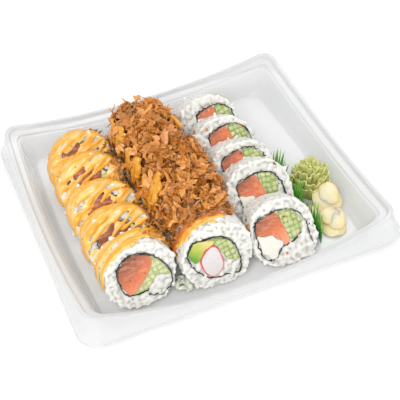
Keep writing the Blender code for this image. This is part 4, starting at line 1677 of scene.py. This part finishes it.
def build_onions(settings):
    """The heap of crisp fried onion: small strips under larger ones, over a rough core."""
    rng = np.random.default_rng(21)
    fewer = 1
    dark, light = tuple(settings.dark), tuple(settings.light)
    pools = np.concatenate([path[:, :2] for path in heap_pools()])

    # Painted light and shade: the small strips underneath get a darker look and the large strips on
    # top a lighter one, as shade beneath the top layer; each strip's own brown still varies at
    # random.
    small = Shape()
    spots, normals = heap_spots(settings.small_strips // fewer, rng, pools)
    add_strips(small, lifted(spots, normals, -1.8, 0.3, 1.5, rng), normals,
               0.75 * settings.length, 0.8 * settings.width, rng, 0.5, (1.2, 1.9))
    first = Roll("roll_middle_1")
    count = 110 // fewer
    turn = rng.uniform(0.10, 0.47, count) * TURN
    depth = rng.uniform(9.8 * MM, first.thickness - 1 * MM, count)
    far, out = first.reach(turn), first.outward(turn)
    near = first.at(far * np.cos(turn), depth, far * np.sin(turn))
    add_strips(small, near + out * 0.8 * MM, out, 0.7 * settings.length, settings.width, rng,
               0.35, (1.4, 1.6))
    add_shoulder_strips(small, settings, pools, fewer, rng)
    add_piece("onion_small_strips", small.mesh("onion_small_strips"),
              onion_look("onion_small_strips", dark, between(dark, light, 0.8)), "fried_onion",
              sharp=60)

    large = Shape()
    spots, normals = heap_spots(settings.large_strips // fewer, rng, pools)
    add_strips(large, lifted(spots, normals, 0.1, 1.8, 1.7, rng), normals,
               1.35 * settings.length, 1.05 * settings.width, rng, 0.34, (2.4, 1.2))
    low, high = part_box("fried_onions")
    spots, normals = heap_spots(130 // fewer, rng, pools, 0.2)
    back = spots[:, 1] > low[1] + 0.72 * (high[1] - low[1])
    add_strips(large, (spots + normals * 1.4 * MM)[back], normals[back], 1.1 * settings.length,
               0.5 * settings.width, rng, 0.8, (1.5, 1.5))
    add_piece("onion_large_strips", large.mesh("onion_large_strips"),
              onion_look("onion_large_strips", between(dark, light, 0.12), light), "fried_onion",
              sharp=60)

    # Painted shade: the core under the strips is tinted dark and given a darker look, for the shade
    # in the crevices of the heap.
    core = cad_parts["fried_onions"].data.copy()
    core.name = "onion_core"
    points, facing = read_points(core), read_normals(core)
    sink = (1.9 + 2.4 * towards_back(points)) * MM * np.clip(facing[:, 2] + 0.3, 0, 1)
    out = 0.5 * MM * ripple(points, 5 * MM, 3) * (sink > 0) - sink
    write_points(core, points + facing * out[:, None])
    write_tint(core, np.full(len(points), 0.1))
    add_piece("onion_core", core, onion_look("onion_core", dark, between(dark, light, 0.35)),
              "fried_onion", ("fried_onions",), sharp=70)


# ---------------------------------------------------------------- garnish


# Tiers of the wasabi's ruffle: where they start and end in height, radius at the foot and
# at the lip, and depth of the folds, all as shares; then the number of folds.
WASABI_TIERS = (
    (0.00, 0.40, 0.80, 0.95, 0.10, 13),
    (0.10, 0.62, 0.60, 0.80, 0.13, 11),
    (0.28, 0.82, 0.38, 0.56, 0.14, 8),
    (0.44, 0.95, 0.18, 0.32, 0.13, 5),
    (0.55, 1.00, 0.03, 0.10, 0.08, 3),
)


# Rings of the mound inside the ruffle: height and radius, as shares.
WASABI_CORE = ((0, 0.78), (0.1, 0.84), (0.25, 0.78), (0.42, 0.62), (0.6, 0.42), (0.75, 0.2))


def build_wasabi(settings):
    """A mound of wasabi piped in ruffled tiers, like a carnation."""
    low, high = (np.array(corner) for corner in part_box("wasabi"))
    middle = (low + high)[:2] / 2 + (0.8 * MM, 1.6 * MM)
    radius = (high - low)[:2].mean() / 2
    height = 1.16 * (high[2] - low[2])
    shape = Shape()
    steps, rows = 180, 14
    angle = np.arange(steps) * TURN / steps

    core = []
    for share, size in WASABI_CORE:
        far = radius * size * (1 + 0.04 * np.sin(9 * angle + 4 * share))
        core.append(np.column_stack([
            middle[0] + far * np.cos(angle), middle[1] + far * np.sin(angle),
            np.full(steps, low[2] + share * height)]))
    points = np.concatenate(core + [[(*middle, low[2])], [(*middle, low[2] + 0.8 * height)]])
    # Painted shade: the mound inside the ruffle gets a dark tint.
    shape.add(points, capped_faces(len(core), steps), 0.12)

    for tier, (start, end, foot, lip, wave, waves) in enumerate(WASABI_TIERS):
        walls = []
        for up in np.linspace(0, 1, rows):
            grown = up ** 0.7
            uneven = waves * angle + 0.6 * np.sin(2 * angle + tier) + 0.4 * np.sin(3 * angle)
            sway = angle + 0.75 / waves * np.sin(2 * uneven) * grown + 0.15 * up
            beat = np.cos(uneven)
            far = foot + (lip - foot) * up ** 1.4 + wave * beat * (0.25 + 0.75 * grown)
            far = far * (1 + 0.04 * np.sin(3 * angle + 2 * tier))
            lift = start + (end - start) * (up + 0.12 * up * (
                0.7 * beat + np.sin(5 * angle + 2 * tier) + 0.5 * np.sin(2 * uneven + 1)))
            walls.append(np.column_stack([
                middle[0] + radius * far * np.cos(sway), middle[1] + radius * far * np.sin(sway),
                low[2] + lift * height]))
        wall = np.array(walls)
        normal = np.cross(np.roll(wall, -1, axis=1) - np.roll(wall, 1, axis=1),
                          np.gradient(wall, axis=0))
        normal /= np.linalg.norm(normal, axis=-1, keepdims=True) + 1e-12
        thick = (1.0 - 0.62 * np.linspace(0, 1, rows) ** 1.5)[:, None, None] * MM
        ring = np.concatenate([wall + normal * thick, (wall - normal * thick)[::-1]])
        # Painted light and shade: each tier is tinted dark at its foot, deep among the folds, and
        # light at its lip, on both sides of its wall.
        shade = np.concatenate([np.linspace(0.15, 1.0, rows), np.linspace(1.0, 0.1, rows)])
        shape.add(ring, grid_faces(2 * rows, steps, close_rows=True), np.repeat(shade, steps))
    add_piece("wasabi_ruffle", shape.mesh("wasabi_ruffle"), wasabi_look(tuple(settings.wasabi)),
              "wasabi", ("wasabi",), sharp=80)


GINGER_SHEET = 0.8 * MM
# Each slice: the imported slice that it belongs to, its middle measured from that one's (x, y),
# height of its lower end, length, width, turn in degrees, rise along it, fold across it.
GINGER_SLICES = (
    (2, (1.2, 3.4), 1.0, 16.5, 18.5, 94, 7.6, 1.0),
    (2, (3.0, 5.2), 3.6, 13.5, 12.5, 76, 7.2, 1.0),
    (2, (-1.4, 0.6), 0.6, 14.5, 14.5, 112, 3.0, 0.8),
    (1, (-1.3, 3.0), 0.8, 19.5, 15.5, 80, 2.0, 1.2),
    (1, (1.6, 4.2), 2.8, 16.0, 11.5, 66, 2.6, 1.3),
    (1, (-0.8, 7.2), 4.0, 11.5, 13.5, 99, 2.2, 0.9),
    (3, (0.8, 0.0), 0.9, 10.0, 7.0, 84, 2.0, 1.6),
)


def build_ginger(settings):
    """Pickled ginger: thin rippled slices that lie over one another."""
    shape = Shape()
    steps = (40, 32)
    for number, (kin, shift, foot, length, width, turn, rise, fold) in enumerate(GINGER_SLICES):
        low, high = (np.array(corner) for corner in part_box(f"ginger_{kin}"))
        centre = (low + high)[:2] / 2 + np.array(shift) * MM
        along, across = np.meshgrid(np.linspace(-1, 1, steps[0]), np.linspace(-1, 1, steps[1]),
                                    indexing="ij")
        taper = (1 - np.abs(along) ** 2.6) ** (1 / 2.2) * 0.94 + 0.06
        x = along * length / 2 * MM
        y = across * width / 2 * taper * MM
        spread = np.stack([x, y], axis=-1)
        edge = np.maximum(np.abs(along), np.abs(across)) ** 4
        arch = (1 - across ** 2) * (1 - 0.6 * along ** 2)
        z = (foot + rise * (along + 1) / 2 + fold * arch) * MM
        z += (0.30 * ripple(spread, 11 * MM, 60 + number) + 0.30 * edge
              * ripple(spread, 6 * MM, 80 + number)) * MM
        spin = math.radians(turn)
        middle = np.stack([centre[0] + x * math.cos(spin) - y * math.sin(spin),
                           centre[1] + x * math.sin(spin) + y * math.cos(spin),
                           np.maximum(z, 0.3 * MM) + low[2]], axis=-1)
        normal = np.cross(np.gradient(middle, axis=0), np.gradient(middle, axis=1))
        normal /= np.linalg.norm(normal, axis=-1, keepdims=True) + 1e-12
        thick = GINGER_SHEET / 2 * np.clip(4 * (1.03 - np.maximum(np.abs(along), np.abs(across))),
                                           0.25, 1)[..., None]
        # Painted light: each slice is tinted lighter over its middle and darker towards its rims.
        shade = np.clip(0.35 + 0.5 * (1 - edge), 0, 1).ravel()
        add_sheet_pair(shape, middle + normal * thick, middle - normal * thick,
                       np.concatenate([shade, shade]))
    nodes = [f"ginger_{number}" for number in (1, 2, 3)]
    add_piece("ginger_slices", shape.mesh("ginger_slices"), ginger_look(tuple(settings.ginger)),
              "ginger", nodes, sharp=80)


def add_sheet_pair(shape, upper, lower, tint=0.5):
    """A closed sheet from its upper and lower grids of points."""
    rows, columns = upper.shape[:2]
    top = grid_faces(rows, columns, close_columns=False)
    bottom = top[:, ::-1] + rows * columns
    rim = np.concatenate([
        np.arange(columns), columns * np.arange(1, rows) + columns - 1,
        rows * columns - 1 - np.arange(1, columns), columns * np.arange(rows - 2, 0, -1)])
    after = np.roll(rim, -1)
    side = np.stack([rim, rim + rows * columns, after + rows * columns, after], axis=-1)
    shape.add(np.concatenate([upper.reshape(-1, 3), lower.reshape(-1, 3)]),
              np.concatenate([top, bottom, side]), tint)


LEAF_SHEET = 0.35 * MM
LEAF_BAND = 7.0 * MM
LEAF_WAVE = 1.2 * MM
LEAF_WAVES = 1.6
LEAF_START = 0.045  # where the film begins, as a share of its packed length
# Middle and reach of each cluster of taller blades, and how far these lean outwards.
LEAF_CLUSTERS = ((0.185, 0.115, 0.02), (0.49, 0.075, 0.22), (0.86, 0.11, 0.10))


def build_leaf(settings):
    """The divider: a band of thin green film cut into clusters of slender blades."""
    low, high = (np.array(corner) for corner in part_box("leaf_divider"))
    foot_x = low[0] + LEAF_WAVE
    length = high[1] - low[1]
    rng = random.Random(5)
    shape = Shape()

    def line(share, height):
        wave = LEAF_WAVE * np.sin(TURN * LEAF_WAVES * share)
        return np.stack([foot_x + wave + 0 * height, low[1] + share * length,
                         low[2] + height], axis=-1)

    shares = np.linspace(LEAF_START, 1, 140)
    heights = np.linspace(0, LEAF_BAND + 1 * MM, 4)
    grid = line(*np.meshgrid(shares, heights, indexing="ij"))
    film = np.array([LEAF_SHEET / 2, 0, 0])
    # Painted shade: the band along the foot of the blades gets the darkest tint.
    add_sheet_pair(shape, grid + film, grid - film, 0.15)
    tallest = high[2] - low[2]
    for blade in range(settings.blades):
        middle = LEAF_START + (1 - LEAF_START) * (blade + 0.5) / settings.blades
        near = min(LEAF_CLUSTERS, key=lambda cluster: abs(middle - cluster[0]))
        off = (middle - near[0]) / near[1]
        tip = tallest * (0.40 + 0.47 * math.exp(-off * off) + rng.uniform(-0.07, 0.09))
        half = 0.72 / settings.blades
        up = np.linspace(0, 1, 12)
        width = half * (1 - up ** 1.5) * (1 - 0.2 * up) + 0.0004
        sway = (0.025 * max(-1, min(1, off)) + rng.uniform(-0.008, 0.008)) * up ** 2
        height = LEAF_BAND * 0.6 + up * (tip - LEAF_BAND * 0.6)
        across = np.linspace(-1, 1, 5)
        share = np.clip(middle + sway[:, None] + width[:, None] * across[None], LEAF_START, 1)
        spots = line(share, np.broadcast_to(height[:, None], share.shape))
        keel = 0.5 * MM * (1 - np.abs(across))[None] * (1 - up)[:, None]
        bend = (rng.uniform(-1.2, 1.2) * MM * up ** 2 + near[2] * tip * up)[:, None]
        spots[..., 0] += keel + bend
        # Painted light and shade: each blade is tinted darker at its foot and lighter towards its
        # tip and along its edges.
        tint = (0.15 + 0.35 * up)[:, None] + 0.5 * np.abs(across)[None] ** 2
        tint = np.concatenate([tint.ravel()] * 2) + rng.uniform(-0.1, 0.1)
        add_sheet_pair(shape, spots + film / 2, spots - film / 2, tint)
    add_piece("leaf_blades", shape.mesh("leaf_blades"), leaf_look(tuple(settings.leaf)),
              "leaf_sheet", ("leaf_divider",), sharp=50)


def scattered(row, count, rng, lowest=0.2):
    """Random places on the upper sides of a row's rolls, with outward directions."""
    found = [surface_spots(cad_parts[name].data, count, rng, lowest)
             for name in row_names(row)]
    return np.concatenate([spots for spots, _ in found]), np.concatenate(
        [normals for _, normals in found])


# Clumps of crumbs that fell beside the rolls: the roll, direction in degrees and depth from
# its face in millimetres, how many crumbs and how far they spread in millimetres.
ONION_CLUMPS = (
    ("roll_right_1", 158, 4.0, 11, 1.4), ("roll_right_2", 150, 5.0, 7, 1.8),
    ("roll_right_4", 152, 8.0, 8, 2.2), ("roll_left_1", 58, 9.0, 8, 2.0),
    ("roll_left_1", 34, 9.0, 18, 3.0), ("roll_left_1", 30, 16.0, 22, 3.4),
)
STRAY_GRAINS = 34


def clump_spots(clumps, rng):
    """Places and outward directions of the crumbs of some clumps."""
    spots, normals = [], []
    for name, angle, depth, count, spread in clumps:
        roll = Roll(name)
        turn = math.radians(angle) + rng.normal(scale=spread / 20, size=count)
        deep = depth * MM + rng.normal(scale=spread * MM, size=count)
        spots.append(roll.on_side(turn, deep, rng.uniform(0, 1.2, count) * MM))
        normals.append(roll.outward(turn))
    return np.concatenate(spots), np.concatenate(normals)


def build_crumbs(onion, rice):
    """Crumbs of onion, dark specks that are partly seaweed and partly painted shade in gaps of the
    rice, and grains of rice that strayed from the rolls.
    """
    rng = np.random.default_rng(44)
    shape = Shape()
    spots, normals = scattered("right", 5, rng)
    add_strips(shape, spots + normals * 0.2 * MM, normals, 1.9 * MM, 1.3 * MM, rng, 0.3,
               (1.7, 1.5))
    spots, normals = clump_spots(ONION_CLUMPS, rng)
    add_strips(shape, spots, normals, 3.4 * MM, 1.7 * MM, rng, 0.6, (2.2, 1.2))
    dark, light = tuple(onion.dark), tuple(onion.light)
    add_piece("onion_crumbs", shape.mesh("onion_crumbs"), onion_look("onion_crumbs", dark, light),
              "fried_onion")

    # Dark specks over the rolls: partly specks of seaweed, partly painted shade in the gaps between
    # grains.
    specks = Shape()
    for row, count in (("left", 22), ("middle", 5), ("right", 16)):
        spots, normals = scattered(row, count, rng, 0.0)
        raised = (1.0 if row == "left" else 0.15) * MM
        sizes = rng.uniform(0.5, 1.3, (len(spots), 3)) * (0.9 * MM, 0.6 * MM, 0.35 * MM)
        stamp(specks, grain_form(), spots + normals * raised, normals, sizes, rng, 0.2)
    add_piece("nori_and_shade_specks", specks.mesh("nori_and_shade_specks"), nori_look(tuple(rice.nori_colour)),
              "nori")

    strays = Shape()
    corner_left, corner_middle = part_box("roll_left_1")[1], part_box("roll_middle_1")[0]
    heap = rng.normal(size=(STRAY_GRAINS, 2)) * (3.4 * MM, 2.6 * MM)
    heap += ((corner_left[0] + corner_middle[0]) / 2 + 4.2 * MM, corner_middle[1] + 7.5 * MM)
    height = corner_middle[2] + rng.uniform(2.2, 7.0, STRAY_GRAINS) * MM
    spots = np.column_stack([heap, height])
    normals = np.tile((0.0, -0.4, 1.0), (STRAY_GRAINS, 1))
    stamp(strays, grain_form(), spots, normals, grain_sizes(rice, len(spots), rng), rng, 0.5)
    add_piece("rice_strays", strays.mesh("rice_strays"),
              rice_look("rice_strays", between(tuple(rice.colour), (0.62, 0.72, 0.42), 0.3),
                        3 * MM), "rice")


# ---------------------------------------------------------------- stage


FLOOR_REACH = 3.0
LIGHT_SIZE = 0.5
KEY_PLACE = (-0.36, -0.62, 0.72)
FILL_PLACE = (0.50, 0.40, 0.85)
FILL_SHARE = 0.35  # power of the fill light, as a share of the key's
AIM = (1.4 * MM, -12.0 * MM, 9.5 * MM)  # the camera's target from the middle of the underside


def build_stage(settings):
    """The floor, the light and the camera."""
    scene = bpy.context.scene
    scene.view_settings.view_transform = "Standard"
    low, high = CAD_BOX
    middle = (Vector(low) + Vector(high)) / 2
    mesh = bpy.data.meshes.new("floor")
    mesh.from_pydata([(across * FLOOR_REACH, along * FLOOR_REACH, 0) for across, along in (
        (-1, -1), (1, -1), (1, 1), (-1, 1))], [], [(0, 1, 2, 3)])
    mesh.materials.append(floor_look(tuple(settings.floor)))
    floor = bpy.data.objects.new("floor", mesh)
    scene.collection.objects.link(floor)

    world = bpy.data.worlds.new("studio")
    world.use_nodes = True
    sky = world.node_tree.nodes["Background"]
    sky.inputs["Color"].default_value = (1, 1, 1, 1)
    sky.inputs["Strength"].default_value = settings.sky
    scene.world = world
    for name, place, power in (("key", KEY_PLACE, settings.key),
                               ("fill", FILL_PLACE, settings.key * FILL_SHARE)):
        light = bpy.data.lights.new(name, "AREA")
        light.energy = power
        light.size = LIGHT_SIZE
        lamp = bpy.data.objects.new(name, light)
        lamp.location = middle + Vector(place)
        lamp.rotation_euler = (middle - lamp.location).to_track_quat("-Z", "Y").to_euler()
        scene.collection.objects.link(lamp)

    look = Vector((math.sin(settings.turn) * math.cos(settings.tilt),
                   math.cos(settings.turn) * math.cos(settings.tilt), -math.sin(settings.tilt)))
    right = Vector((math.cos(settings.turn), -math.sin(settings.turn), 0))
    up = right.cross(look)
    spin_right = right * math.cos(settings.roll) - up * math.sin(settings.roll)
    spin_up = right * math.sin(settings.roll) + up * math.cos(settings.roll)
    target = Vector((middle.x + AIM[0], middle.y + AIM[1], low[2] + AIM[2]))
    eye = bpy.data.cameras.new("camera")
    eye.lens = settings.lens
    eye.sensor_width = 36
    camera = bpy.data.objects.new("camera", eye)
    spot = target - look * settings.distance
    turned = Matrix((spin_right, spin_up, -look)).transposed()
    camera.matrix_world = Matrix.Translation(spot) @ turned.to_4x4()
    scene.collection.objects.link(camera)
    scene.camera = camera


# ---------------------------------------------------------------- add-on


class SUSHI_OT_sheet(bpy.types.Operator):
    """Form the clear sheet of the tray"""

    bl_idname = "sushi.sheet"
    bl_label = "Tray"

    def execute(self, context):
        build_sheet(context.scene.sushi_sheet)
        return {"FINISHED"}


class SUSHI_OT_rice(bpy.types.Operator):
    """Build the rice and the seaweed of every roll"""

    bl_idname = "sushi.rice"
    bl_label = "Rice and seaweed"

    def execute(self, context):
        build_rice(context.scene.sushi_rice)
        return {"FINISHED"}


class SUSHI_OT_fillings(bpy.types.Operator):
    """Build what is rolled inside"""

    bl_idname = "sushi.fillings"
    bl_label = "Fillings"

    def execute(self, context):
        build_fillings(context.scene.sushi_filling)
        return {"FINISHED"}


class SUSHI_OT_sauce(bpy.types.Operator):
    """Draw the sauce and the glaze over the rolls"""

    bl_idname = "sushi.sauce"
    bl_label = "Sauce and glaze"

    def execute(self, context):
        build_sauce(context.scene.sushi_sauce)
        return {"FINISHED"}


class SUSHI_OT_onions(bpy.types.Operator):
    """Heap fried onion over the middle row"""

    bl_idname = "sushi.onions"
    bl_label = "Fried onion"

    def execute(self, context):
        build_onions(context.scene.sushi_onion)
        return {"FINISHED"}


class SUSHI_OT_crumbs(bpy.types.Operator):
    """Scatter crumbs of onion, dark specks of seaweed and painted shade, and stray grains of rice
    """

    bl_idname = "sushi.crumbs"
    bl_label = "Crumbs"

    def execute(self, context):
        build_crumbs(context.scene.sushi_onion, context.scene.sushi_rice)
        return {"FINISHED"}


class SUSHI_OT_wasabi(bpy.types.Operator):
    """Pipe the mound of wasabi"""

    bl_idname = "sushi.wasabi"
    bl_label = "Wasabi"

    def execute(self, context):
        build_wasabi(context.scene.sushi_garnish)
        return {"FINISHED"}


class SUSHI_OT_ginger(bpy.types.Operator):
    """Fold the slices of pickled ginger"""

    bl_idname = "sushi.ginger"
    bl_label = "Ginger"

    def execute(self, context):
        build_ginger(context.scene.sushi_garnish)
        return {"FINISHED"}


class SUSHI_OT_leaf(bpy.types.Operator):
    """Cut the leaf divider"""

    bl_idname = "sushi.leaf"
    bl_label = "Leaf divider"

    def execute(self, context):
        build_leaf(context.scene.sushi_garnish)
        return {"FINISHED"}


class SUSHI_OT_stage(bpy.types.Operator):
    """Set out the floor, the light and the camera"""

    bl_idname = "sushi.stage"
    bl_label = "Stage"

    def execute(self, context):
        build_stage(context.scene.sushi_stage)
        return {"FINISHED"}


OPERATORS = (
    SUSHI_OT_sheet,
    SUSHI_OT_rice,
    SUSHI_OT_fillings,
    SUSHI_OT_sauce,
    SUSHI_OT_onions,
    SUSHI_OT_crumbs,
    SUSHI_OT_wasabi,
    SUSHI_OT_ginger,
    SUSHI_OT_leaf,
    SUSHI_OT_stage,
)


class SUSHI_PT_build(bpy.types.Panel):
    """Lists the steps that build the tray"""

    bl_idname = "SUSHI_PT_build"
    bl_label = "Filled sushi tray"
    bl_space_type = "VIEW_3D"
    bl_region_type = "UI"
    bl_category = "Sushi"

    def draw(self, context):
        for step in OPERATORS:
            self.layout.operator(step.bl_idname)


CLASSES = (*GROUPS.values(), *OPERATORS, SUSHI_PT_build)


def register():
    """Make the settings, the steps and the panel known to Blender."""
    for each in CLASSES:
        bpy.utils.register_class(each)
    for name, group in GROUPS.items():
        setattr(bpy.types.Scene, name, bpy.props.PointerProperty(type=group))


def unregister():
    """Take the panel, the steps and the settings away again."""
    for name in GROUPS:
        delattr(bpy.types.Scene, name)
    for each in reversed(CLASSES):
        bpy.utils.unregister_class(each)


def main():
    """Build the whole scene, step by step."""
    register()
    for step in OPERATORS:
        family, name = step.bl_idname.split(".")
        getattr(getattr(bpy.ops, family), name)()


if __name__ == "__main__":
    main()
